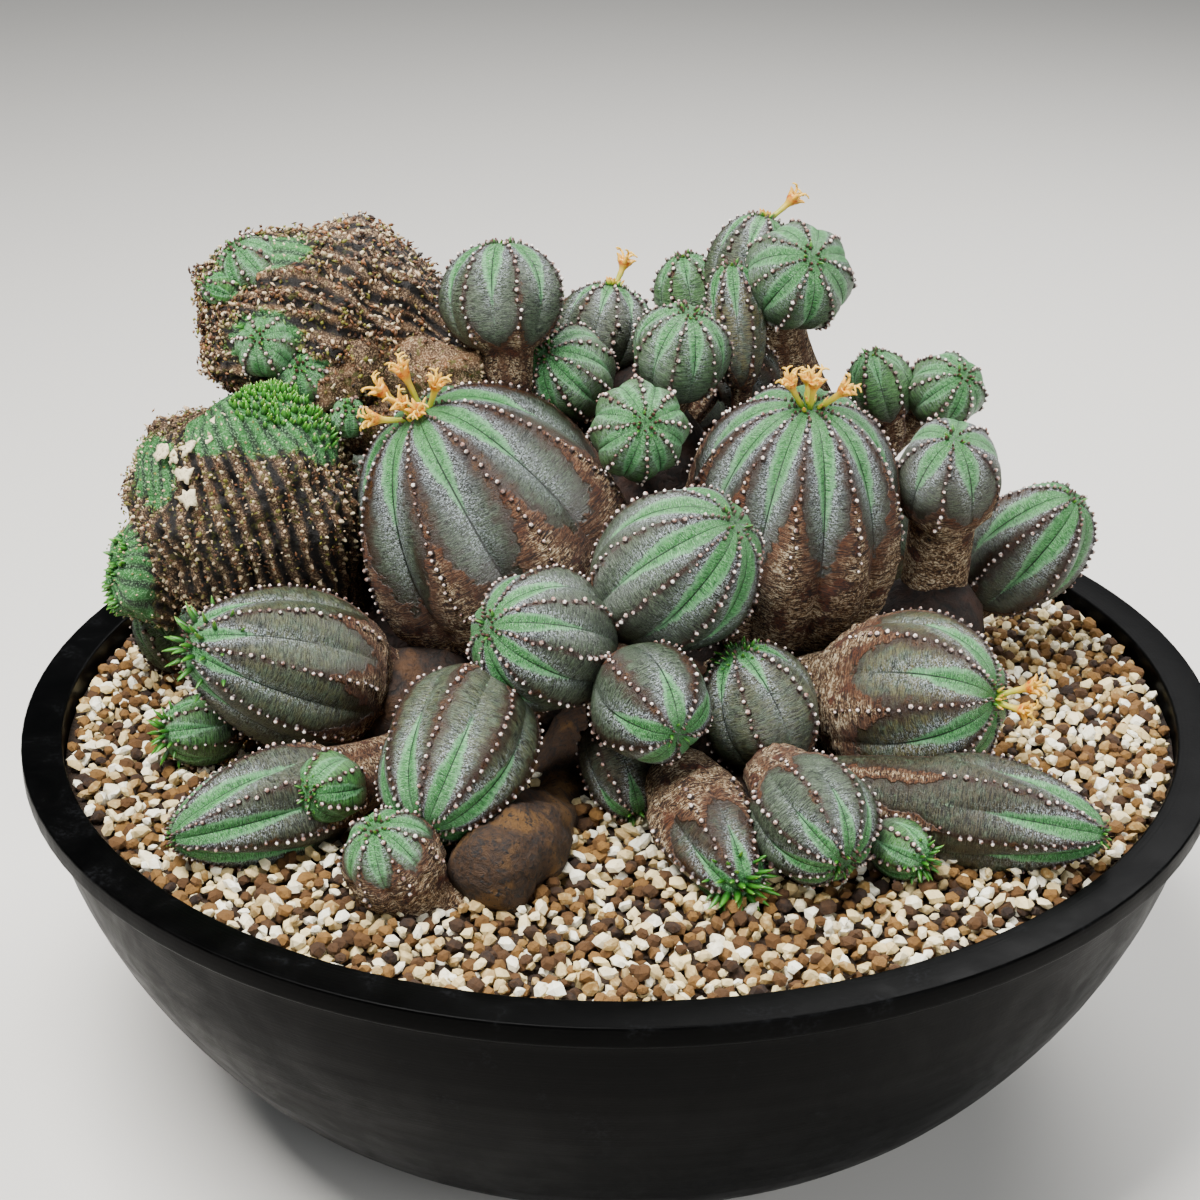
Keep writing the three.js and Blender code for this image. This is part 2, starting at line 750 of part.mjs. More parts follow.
let grit = gritFill();
for (const piece of pieces) {
  if (piece.guard.boundingBox().min[2] < GRIT_TOP + 4) grit = grit.subtract(piece.guard);
}

pieces.push({ name: "bowl", colour: "bowl", solid: bowl });
pieces.push({ name: "grit", colour: "grit", solid: largestBody(grit) });

const materials = Object.fromEntries(
  Object.entries(COLOURS).map(([name, [color, roughness]]) => [
    name,
    new THREE.MeshStandardMaterial({ name, color, roughness, metalness: 0 }),
  ]),
);

function meshOf({ name, colour, solid }) {
  const { vertProperties, triVerts, numProp } = solid.getMesh();
  const positions = new Float32Array((vertProperties.length / numProp) * 3);
  for (let i = 0; i < positions.length / 3; i++) {
    positions.set(vertProperties.subarray(i * numProp, i * numProp + 3), i * 3);
  }
  const geometry = new THREE.BufferGeometry()
    .setAttribute("position", new THREE.BufferAttribute(positions, 3))
    .setIndex(new THREE.BufferAttribute(triVerts, 1));
  geometry.computeVertexNormals();
  const mesh = new THREE.Mesh(geometry, materials[colour]);
  mesh.name = name;
  return mesh;
}

const plant = new THREE.Group();
plant.add(...pieces.map(meshOf));

export default plant;
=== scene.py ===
"""Looks for a potted clump of ribbed globular stems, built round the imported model.

Lengths in the tables are millimetres, as on the real plant, and MM turns them into metres.
"""

import math

import bpy
import numpy as np
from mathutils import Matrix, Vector, noise


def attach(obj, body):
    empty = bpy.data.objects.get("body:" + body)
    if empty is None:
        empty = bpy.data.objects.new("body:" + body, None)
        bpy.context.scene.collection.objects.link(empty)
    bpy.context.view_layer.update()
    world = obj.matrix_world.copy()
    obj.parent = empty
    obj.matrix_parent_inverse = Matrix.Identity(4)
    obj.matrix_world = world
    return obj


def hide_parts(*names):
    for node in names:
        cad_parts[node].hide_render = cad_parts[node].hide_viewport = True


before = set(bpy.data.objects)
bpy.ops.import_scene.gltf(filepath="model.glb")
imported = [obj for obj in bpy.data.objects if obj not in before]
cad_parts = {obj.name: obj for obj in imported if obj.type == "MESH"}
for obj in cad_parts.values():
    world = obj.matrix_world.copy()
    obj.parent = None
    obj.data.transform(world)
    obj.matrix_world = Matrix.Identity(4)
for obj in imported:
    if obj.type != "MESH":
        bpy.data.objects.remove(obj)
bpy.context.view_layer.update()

MM = 0.001
BODY = "root"

# Camera, at the photograph's viewing angle
CAMERA_PLACE = (-0.00488, -0.54873, 0.38010)
CAMERA_ELEVATION = 24.957
CAMERA_LENS = 72.0
CAMERA_SENSOR = 36.0

# Bowl, from the same sizes as its solid
RIM_RADIUS = 150.0
RIM_TOP = 100.0
LIP_DEPTH = 5.0
LIP_WIDTH = 10.0
LIP_BAND = 10.0
BASE_TOP = 9.0
BASE_UNDER = 4.0
FOOT_OUTER = 66.0
FOOT_INNER = 58.0
WALL = 3.5
BOWL_SIDE = ((69, 6), (90, 10), (110, 23), (128, 46), (140, 70), (147, 94))
BOWL_SEGMENTS = 112

# Grit
GRIT_TOP = 96.5
GRIT_MOUND = 3.0
GRIT_SPACING = 3.5
# Each layer of grains: its height against the grit's top, and the share of grains kept
GRIT_LAYERS = ((-2.4, 0.5), (0.0, 1.0), (1.9, 0.42))
GRAIN_SHAPES = 14
CREAM_SHARE = 0.63
BED_CLEAR = 0.5
BED_DOWN = 3.0
GRIT_EDGE = RIM_RADIUS - LIP_WIDTH - 0.6


# Small geometry helpers, all on arrays of points


def unit(vector):
    vector = np.asarray(vector, float)
    return vector / np.linalg.norm(vector)


def across(axis, side=None):
    """Two directions across an axis, the first as near as can be to the side asked for."""
    axis = unit(axis)
    if side is None:
        side = (1, 0, 0) if abs(axis[2]) > 0.95 else np.cross(axis, (0, 0, 1))
    side = np.asarray(side, float)
    u = unit(side - axis * side.dot(axis))
    return u, np.cross(axis, u)


def unit_rows(vectors):
    return vectors / (np.linalg.norm(vectors, axis=1, keepdims=True) + 1e-9)


def swing(angle, u, v):
    """The direction at an angle from u towards v, or one row for each of several angles."""
    angle = np.asarray(angle, float)[..., None]
    return np.cos(angle) * u + np.sin(angle) * v


def circle(sides):
    return 2 * math.pi * np.arange(sides) / sides


def smoothstep(value, low, high):
    share = np.clip((np.asarray(value, float) - low) / (high - low), 0, 1)
    return share * share * (3 - 2 * share)


def waves(points, length, seed, count=7):
    """Smooth noise in about -1 to 1: a sum of sine waves of about the length given."""
    rng = np.random.default_rng(seed)
    total = np.zeros(len(points))
    for _ in range(count):
        way = unit(rng.normal(size=3)) * 2 * math.pi / (length * rng.uniform(0.7, 1.5))
        total += np.sin(points @ way + rng.uniform(0, 2 * math.pi))
    return total / math.sqrt(count)


def rough(points, length, octaves=3):
    """Fractal noise at each point, for surfaces that crumble."""
    return np.array([noise.fractal(Vector(p / length), 0.9, 2.0, octaves) for p in points])


def closed_faces(rings, around, top, base=None):
    """Quads over rings of equal count, and a fan to the point that closes each end."""
    k, i = np.meshgrid(np.arange(rings - 1), np.arange(around), indexing="ij")
    step = (i + 1) % around
    quads = np.stack([k * around + i, k * around + step, (k + 1) * around + step, (k + 1) * around + i], -1)
    ids = np.arange(around)
    after = (ids + 1) % around
    last = (rings - 1) * around
    faces = [quads.reshape(-1, 4), np.stack([np.full(around, top), last + ids, last + after], -1)]
    if base is not None:
        faces.append(np.stack([np.full(around, base), after, ids], -1))
    return faces


def spline(knots, k, t):
    """The point at share t of a smooth curve's stretch from knot k to the next."""
    p = [knots[max(k - 1, 0)], knots[k], knots[k + 1], knots[min(k + 2, len(knots) - 1)]]
    bend = (2 * p[0] - 5 * p[1] + 4 * p[2] - p[3]) * t**2 + (3 * p[1] - p[0] - 3 * p[2] + p[3]) * t**3
    return 0.5 * (2 * p[1] + (p[2] - p[0]) * t + bend)


class Build:
    """Gathers points, faces and named values, then makes one mesh object of them."""

    def __init__(self, *values, vectors=()):
        self.points = []
        self.faces = []
        self.slots = []
        self.values = {name: [] for name in values + tuple(vectors)}
        self.vectors = vectors
        self.count = 0

    def add(self, points, faces, slot=0, **values):
        points = np.asarray(points, float)
        for face in faces:
            face = np.asarray(face) + self.count
            self.faces.append(face)
            self.slots.append(np.full(len(face), slot))
        for name, store in self.values.items():
            shape = (len(points), 3) if name in self.vectors else (len(points),)
            store.append(np.broadcast_to(np.asarray(values.get(name, 0.0), float), shape))
        self.points.append(points)
        self.count += len(points)

    def make(self, name, materials, smooth=True):
        points = np.concatenate(self.points) * MM
        mesh = bpy.data.meshes.new(name)
        sizes = np.concatenate([np.full(len(f), f.shape[1]) for f in self.faces])
        corners = np.concatenate([f.ravel() for f in self.faces])
        mesh.vertices.add(len(points))
        mesh.vertices.foreach_set("co", points.ravel())
        mesh.loops.add(len(corners))
        mesh.loops.foreach_set("vertex_index", corners.astype(np.int32))
        mesh.polygons.add(len(sizes))
        starts = np.concatenate([[0], np.cumsum(sizes)[:-1]])
        mesh.polygons.foreach_set("loop_start", starts.astype(np.int32))
        mesh.polygons.foreach_set("material_index", np.concatenate(self.slots).astype(np.int32))
        mesh.update(calc_edges=True)
        mesh.validate()
        mesh.polygons.foreach_set("use_smooth", np.full(len(mesh.polygons), smooth))
        for key, parts in self.values.items():
            data = np.concatenate(parts)
            kind, field = ("FLOAT_VECTOR", "vector") if key in self.vectors else ("FLOAT", "value")
            layer = mesh.attributes.new(key, kind, "POINT")
            layer.data.foreach_set(field, data.ravel().astype(np.float32))
        for material in materials:
            mesh.materials.append(material)
        piece = bpy.data.objects.new(name, mesh)
        bpy.context.scene.collection.objects.link(piece)
        return piece


def dress(piece, slot, *nodes):
    """A finished piece rides with the plant and stands for the solids named."""
    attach(piece, BODY)
    if nodes:
        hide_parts(*nodes)


# Materials


def srgb(code):
    """A colour written as six hexadecimal digits, as linear red, green, blue and alpha."""
    shares = [int(code[i : i + 2], 16) / 255 for i in (0, 2, 4)]
    return [s / 12.92 if s <= 0.04045 else ((s + 0.055) / 1.055) ** 2.4 for s in shares] + [1.0]


class Field:
    """A number or colour over a surface, from a node's socket. Plain arithmetic works on it."""

    def __init__(self, look, socket):
        self.look = look
        self.socket = socket

    def __add__(self, other):
        return self.look.calc("ADD", self, other)

    def __sub__(self, other):
        return self.look.calc("SUBTRACT", self, other)

    def __rsub__(self, other):
        return self.look.calc("SUBTRACT", other, self)

    def __mul__(self, other):
        return self.look.calc("MULTIPLY", self, other)

    def __truediv__(self, other):
        return self.look.calc("DIVIDE", self, other)

    def root(self):
        return self.look.calc("SQRT", self)

    def step(self, low, high, start=0.0, end=1.0):
        """A smooth change from start to end while this goes from low to high."""
        inputs = {"Value": self, "From Min": low, "From Max": high, "To Min": start, "To Max": end}
        node = self.look.node("ShaderNodeMapRange", inputs, interpolation_type="SMOOTHSTEP")
        return Field(self.look, node.outputs[0])

    def blend(self, first, second):
        node = self.look.node("ShaderNodeMix", {0: self, 6: first, 7: second}, data_type="RGBA")
        return Field(self.look, node.outputs[2])

    def ramp(self, low, high, first, second):
        return self.step(low, high).blend(first, second)


class Look:
    """A material's node tree, with a short call for each kind of node used here."""

    def __init__(self, name):
        self.material = bpy.data.materials.new(name)
        self.material.use_nodes = True
        self.tree = self.material.node_tree
        self.tree.nodes.clear()

    def put(self, socket, value):
        value = getattr(value, "socket", value)
        if isinstance(value, bpy.types.NodeSocket):
            self.tree.links.new(value, socket)
        else:
            socket.default_value = srgb(value) if isinstance(value, str) else value

    def node(self, kind, inputs, **settings):
        made = self.tree.nodes.new(kind)
        for key, value in settings.items():
            setattr(made, key, value)
        for key, value in inputs.items():
            self.put(made.inputs[key], value)
        return made

    def value(self, name, output="Fac"):
        return Field(self, self.node("ShaderNodeAttribute", {}, attribute_name=name).outputs[output])

    def parts(self, vector):
        return [Field(self, socket) for socket in self.node("ShaderNodeSeparateXYZ", {0: vector}).outputs]

    def place(self):
        """The point on the piece, in millimetres."""
        place = self.node("ShaderNodeTexCoord", {}).outputs["Object"]
        scaled = self.node("ShaderNodeVectorMath", {0: place, 1: (1000, 1000, 1000)}, operation="MULTIPLY")
        return scaled.outputs[0]

    def noise(self, vector, scale, detail=3.0, roughness=0.55, distortion=0.0):
        inputs = dict(Vector=vector, Scale=scale, Detail=detail, Roughness=roughness, Distortion=distortion)
        return Field(self, self.node("ShaderNodeTexNoise", inputs).outputs["Fac"])

    def calc(self, operation, first, second=0.0):
        node = self.node("ShaderNodeMath", {0: first, 1: second}, operation=operation)
        return Field(self, node.outputs[0])

    def bump(self, height, strength, distance):
        inputs = dict(Height=height, Strength=strength, Distance=distance)
        return self.node("ShaderNodeBump", inputs).outputs[0]

    def finish(self, colour, roughness, normal=None, **sockets):
        inputs = {"Base Color": colour, "Roughness": roughness}
        if normal is not None:
            inputs["Normal"] = normal
        for key, value in sockets.items():
            inputs[key.replace("_", " ").title().replace("Ior", "IOR")] = value
        shader = self.node("ShaderNodeBsdfPrincipled", inputs)
        output = self.tree.nodes.new("ShaderNodeOutputMaterial")
        self.tree.links.new(shader.outputs[0], output.inputs[0])
        return self.material


def stem_skin():
    """Waxy skin. `groove` is 0 in a furrow and 1 on a rib's crest, `along` is 0 at the apex and 1 at
    the neck, and `flow` is stretched round the stem. `traits` holds how far down the green reaches,
    how much rust lies beside the crests and how far down the corky base starts. `tone` holds how
    olive, how brown and how young the whole stem looks."""
    look = Look("stem_skin")
    groove = look.value("groove")
    along = look.value("along")
    flow = look.value("flow", "Vector")
    place = look.place()
    green, rust, cork = look.parts(look.value("traits", "Vector"))
    old, wash, young = look.parts(look.value("tone", "Vector"))

    wobble = look.noise(place, 0.32, 3.0) - 0.5
    fine = look.noise(flow, 3.2, 3.0, 0.65)
    finer = look.noise(flow, 8.0, 2.0, 0.65)
    patch = look.noise(place, 0.16, 4.0, 0.6)
    cloud = look.noise(place, 0.45, 3.0, 0.6)
    speck = look.noise(place, 2.6, 2.0, 0.7)

    reach = along / green
    taper = reach.step(0.0, 1.0, 0.8, -0.06)
    fringe = (finer - 0.5) * 0.3
    edge = wobble * 0.3 + (taper + fringe) - groove
    band = edge.step(-0.04, 0.05)
    halo = edge.step(-0.55, 0.0)

    dark = patch.ramp(0.36, 0.64, "060508", "1b1718")
    dark = fine.ramp(0.48, 0.62, dark, "525250")
    olive = fine.ramp(0.4, 0.62, "0b110b", "42503b")
    olive = (finer.step(0.52, 0.64) * 0.7).blend(olive, "6f7c68")
    aged = (wobble * 0.3 + along).step(0.14, 0.42)
    skin = aged.blend(dark, olive)
    tan = fine.ramp(0.4, 0.62, "2b250f", "6a6236")
    skin = (old * cloud.step(0.36, 0.6)).blend(skin, tan)
    umber = fine.ramp(0.4, 0.62, "160a06", "4a2e1d")
    skin = (wash * cloud.step(0.3, 0.55)).blend(skin, umber)
    # Silver flecks: partly the skin's own waxy flecks, partly a painted highlight of the waxy sheen,
    # strongest near the band edges and towards the apex
    flecks = speck.step(0.46, 0.56) * finer.step(0.46, 0.56)
    wax_and_painted_highlight = flecks * halo * along.step(0.85, 0.25)
    skin = wax_and_painted_highlight.blend(skin, "bcc6cc")

    leaf = fine.ramp(0.35, 0.66, "14441d", "459049")
    leaf = reach.step(0.0, 0.45, 0.6, 0.0).blend(leaf, "1c5a1a")
    rim = edge.step(0.2, 0.03) * reach.step(0.1, 0.4)
    leaf = (rim * 0.5).blend(leaf, "79b083")
    # Pale green streaks: partly the band's own fine lines, partly a painted highlight
    leaf = (finer.step(0.54, 0.64) * 0.6).blend(leaf, "a0d3a3")
    lush = fine.ramp(0.35, 0.66, "153f14", "4c8f3d")
    skin = (young * along.step(0.9, 0.5)).blend(skin, lush)
    colour = band.blend(skin, leaf)

    line = 1.0 - groove.step(0.008, 0.045)
    line = line * along.step(0.75, 0.45)
    colour = line.blend(colour, "051007")

    worn = along.root() * (rust * 2.2)
    crest = wobble * 0.9 + groove + worn
    shade = crest.step(0.72, 1.0) * along.step(0.04, 0.2)
    shade = shade * rust.step(0.02, 0.1)
    colour = (shade * 0.75).blend(colour, "2b160a")
    rusty = crest.step(0.98, 1.12) * (patch + rust).step(0.58, 0.66)
    rusty = rusty * along.step(0.05, 0.2)
    brown = speck.ramp(0.38, 0.62, "1d0e03", "4f300c")
    colour = rusty.blend(colour, brown)
    scar = groove.step(0.86, 0.95) * cloud.step(0.42, 0.52)
    colour = (scar * 0.8).blend(colour, "2b130b")

    fibre = look.noise(flow, 2.3, 5.0, 0.72, 1.6)
    grain = look.noise(place, 0.55, 5.0, 0.75, 2.0)
    strand = (grain - 0.5) * 0.7 + fibre
    bark = strand.ramp(0.36, 0.47, "0d0603", "4f2d16")
    bark = strand.ramp(0.48, 0.55, bark, "a9855a")
    bark = strand.ramp(0.55, 0.63, bark, "f0e2c0")
    bark = patch.ramp(0.54, 0.62, bark, strand.ramp(0.4, 0.6, "1d0a04", "6a3414"))
    bark = speck.ramp(0.58, 0.68, bark, "100703")
    scallop = groove * groove * 0.24
    climb = wobble * 0.22 + along - cork
    climb = climb + scallop
    corky = climb.step(-0.015, 0.015)
    ring = climb.step(0.14, 0.03)
    bark = (ring * 0.85).blend(bark, fibre.ramp(0.4, 0.6, "1e0b04", "72401b"))
    verge = climb.step(-0.12, -0.01) * 0.7
    colour = verge.blend(colour, "241408")
    colour = corky.blend(colour, bark)

    gloss = speck.step(0.3, 0.7, 0.26, 0.44)
    sheen = corky.blend(gloss, (0.78, 0.78, 0.78, 1.0))
    height = fine * 0.6 + finer * 0.45
    height = corky * strand * 2.4 + height
    height = speck * 0.3 + height
    normal = look.bump(height, 0.9, 0.0007)
    return look.finish(colour, sheen, normal)


def nub_look():
    """Blunt tubercles: brown at the foot, pale and pinkish at the tip, red-brown while young."""
    look = Look("tubercle")
    rise = look.value("rise")
    along = look.value("along")
    place = look.place()
    speck = look.noise(place, 1.3, 2.0)
    bare = look.noise(place, 0.35, 2.0)
    foot = along.ramp(0.02, 0.2, "1d3210", "1e0d07")
    pale = speck.ramp(0.4, 0.6, "a87f70", "f3ebe2")
    pale = (bare.step(0.52, 0.6) * 0.75).blend(pale, "5a3222")
    pale = along.ramp(0.04, 0.16, "42170f", pale)
    colour = rise.ramp(0.4, 0.8, foot, pale)
    return look.finish(colour, 0.5)


def leaf_look():
    """Small fleshy leaves, paler at the tip."""
    look = Look("apex_leaf")
    rise = look.value("rise")
    speck = look.noise(look.place(), 0.8, 2.0)
    colour = rise.ramp(0.1, 1.0, "0d3a0a", "418a22")
    colour = rise.ramp(0.85, 1.0, colour, "9fbb63")
    colour = speck.ramp(0.55, 0.7, colour, "1f6114")
    return look.finish(colour, 0.38, subsurface_weight=0.05)


def flower_look():
    """Green stalks, orange-yellow cups and pale yellow arms. `rise` is 0 at the foot and 1 at the arms."""
    look = Look("flower")
    rise = look.value("rise")
    speck = look.noise(look.place(), 1.1, 2.0)
    colour = rise.ramp(0.05, 0.3, "4f7a1a", "a3a52c")
    colour = rise.ramp(0.3, 0.6, colour, "c8a633")
    warm = speck.ramp(0.4, 0.62, "d98a25", "b3521a")
    colour = rise.ramp(0.6, 0.76, colour, warm)
    colour = rise.ramp(0.8, 0.9, colour, "e8b53a")
    return look.finish(colour, 0.42, subsurface_weight=0.08)


def bark_look():
    """Corky bark, painted near black as shade deep inside the clump. `open` is 1 where light reaches it, on
    the lump in front, where the bark keeps its own lighter brown.
    """
    look = Look("bark")
    place = look.place()
    lit_share = look.value("open")
    fibre = look.noise(place, 0.35, 5.0, 0.7, 1.2)
    patch = look.noise(place, 0.09, 3.0)
    speck = look.noise(place, 0.8, 3.0, 0.7, 0.5)
    # Painted shade: near-black bark for the limbs that lie in shadow inside the clump
    colour = fibre.ramp(0.35, 0.6, "060302", "24130a")
    colour = patch.ramp(0.5, 0.62, colour, "331b0d")
    lump = fibre.ramp(0.3, 0.62, "120702", "392209")
    lump = patch.ramp(0.5, 0.62, lump, "573a12")
    lump = speck.ramp(0.54, 0.62, lump, "0c0502")
    # The painted shade gives way to the lump's own brown as far as light reaches it
    colour = lit_share.blend(colour, lump)
    height = fibre + speck * 0.4
    return look.finish(colour, 0.8, look.bump(height, 0.9, 0.0014))


def crest_look():
    """Fluted, scaly skin of a crested stem: brown and cream, with painted shade in the flutes, green where
    it grows.
    """
    look = Look("crested_skin")
    place = look.place()
    green = look.value("green")
    groove = look.value("groove")
    along = look.value("along")
    scale = look.noise(place, 0.7, 5.0, 0.75, 0.8)
    patch = look.noise(place, 0.14, 3.0)
    speck = look.noise(place, 2.2, 3.0, 0.7)
    # Painted shade: the flutes are painted near black and the ridges keep their brown
    lit_ridge = (scale * 0.5 + groove).step(0.5, 1.1)
    colour = lit_ridge.blend("0a0402", "47301c")
    colour = patch.ramp(0.5, 0.64, colour, lit_ridge.blend("1a0e06", "6a4a2c"))
    colour = (speck.step(0.5, 0.6) * lit_ridge).blend(colour, "b39572")
    moss = look.noise(place, 0.5, 3.0).step(0.56, 0.66) * 0.8
    colour = (moss * along.step(0.8, 0.6)).blend(colour, "4e5016")
    # Painted shade: the green is darker in the flutes
    leafy = groove.ramp(0.15, 0.75, "0b2410", "2f6f2f")
    leafy = (speck.step(0.5, 0.62) * 0.6).blend(leafy, "86bb84")
    mask = (scale - 0.5) * 1.2 + green
    mask = (groove - 0.6) * 0.5 + mask
    colour = mask.ramp(0.4, 0.75, colour, leafy)
    height = scale + speck * 0.5
    return look.finish(colour, 0.65, look.bump(height, 0.9, 0.0012))


def scale_look():
    """Loose scales on a crested stem, each of its own tint."""
    look = Look("crest_scale")
    tint = look.value("tint")
    green = look.value("green")
    speck = look.noise(look.place(), 1.5, 3.0)
    colour = tint.ramp(0.0, 0.35, "150a04", "523219")
    colour = tint.ramp(0.35, 0.62, colour, "8a5a34")
    colour = tint.ramp(0.6, 0.68, colour, "6b6a1c")
    colour = tint.ramp(0.74, 0.84, colour, "c4a987")
    colour = tint.ramp(0.9, 0.98, colour, "d9cba6")
    colour = (green * tint.step(0.8, 0.6)).blend(colour, "4d8a3c")
    colour = (speck.step(0.5, 0.65) * 0.5).blend(colour, "3a1f10")
    return look.finish(colour, 0.6)


def grain_look(name, dark, middle, light, bump):
    """Dry mineral grains. `tint` differs from grain to grain."""
    look = Look(name)
    place = look.place()
    tint = look.value("tint")
    cloud = look.noise(place, 0.7, 3.0)
    pore = look.noise(place, 3.2, 3.0, 0.7)
    colour = tint.ramp(0.0, 0.45, dark, middle)
    colour = tint.ramp(0.4, 0.9, colour, light)
    colour = (cloud.step(0.45, 0.7) * 0.4).blend(colour, middle)
    colour = (pore.step(0.56, 0.7) * 0.4).blend(colour, dark)
    height = cloud * 0.6 + pore
    return look.finish(colour, 0.85, look.bump(height, bump, 0.0005))


def gap_shade_look():
    """What lies between and under the grains, painted dark brown as the shade in the gaps."""
    look = Look("grit_bed")
    place = look.place()
    # Painted shade: a dark brown bed that shows as shadow in the gaps between grains
    colour = look.noise(place, 0.5, 4.0).blend("140b05", "3e2913")
    return look.finish(colour, 0.95, look.bump(look.noise(place, 0.9, 4.0), 1.0, 0.002))


def bowl_look():
    """Moulded black plastic with a satin surface, fine turning lines, scuffs and a little dust."""
    look = Look("bowl_plastic")
    place = look.place()
    x, y, z = look.parts(place)
    radius = (x * x + y * y).root()
    rings = look.node("ShaderNodeCombineXYZ", {0: radius, 1: z}).outputs[0]
    lines = look.noise(rings, 1.6, 2.0)
    scuff = look.noise(place, 0.06, 5.0, 0.65, 0.5)
    speck = look.noise(place, 0.9, 3.0, 0.7)
    worn = scuff.step(0.54, 0.66) * speck.step(0.45, 0.62)
    colour = scuff.ramp(0.35, 0.7, "010101", "030303")
    colour = (worn * 0.35).blend(colour, "1c1d1f")
    roughness = scuff.step(0.3, 0.7, 0.34, 0.5)
    height = lines * 0.25 + speck * 0.2
    return look.finish(colour, roughness, look.bump(height, 0.35, 0.0004), specular_ior_level=0.03)


SKIN = stem_skin()
NUB = nub_look()
LEAF = leaf_look()
FLOWER = flower_look()
BARK = bark_look()
CREST = crest_look()
SCALE = scale_look()
CREAM = grain_look("grit_cream", "8c6a35", "ecd79f", "fffbe6", 0.6)
TAN = grain_look("grit_tan", "221207", "5a3a16", "86602c", 1.0)
GAP_SHADE = gap_shade_look()
BOWL = bowl_look()


# Stems

STEM = dict(
    ribs=8,
    stalk=False,
    depth=0.1,
    fuller=0.0,
    point=1.0,
    turn=0.0,
    neck=0.42,
    wide=1.0,
    square=0.7,
    droop=0.0,
    dimple=0.05,
    side=None,
    leaves=5,
    leaf=2.0,
    green=0.55,
    rust=0.05,
    cork=0.95,
    old=0.0,
    wash=0.0,
    young=0.0,
    fine=46,
)
DIMPLE_SPREAD = 0.35
RIB_FADE = 0.9
# Places across a rib, from the crest on one side through the furrow to the crest on the other
ACROSS_RIB = (-1.0, -0.62, -0.26, -0.06, 0.0, 0.06, 0.26, 0.62)
CREASE = 0.018
# Fine lines run round a stem, this much longer than they are wide
ROUND_STRETCH = 0.12
NUB_STEP = 2.15
NUB_STEP_YOUNG = 1.3


def stem(name, at, tip, r, h, root, **more):
    places = dict(at=np.array(at, float), root=np.array(root, float), tip=unit(tip))
    return dict(STEM, name=name, r=r, h=h, **places, **more)


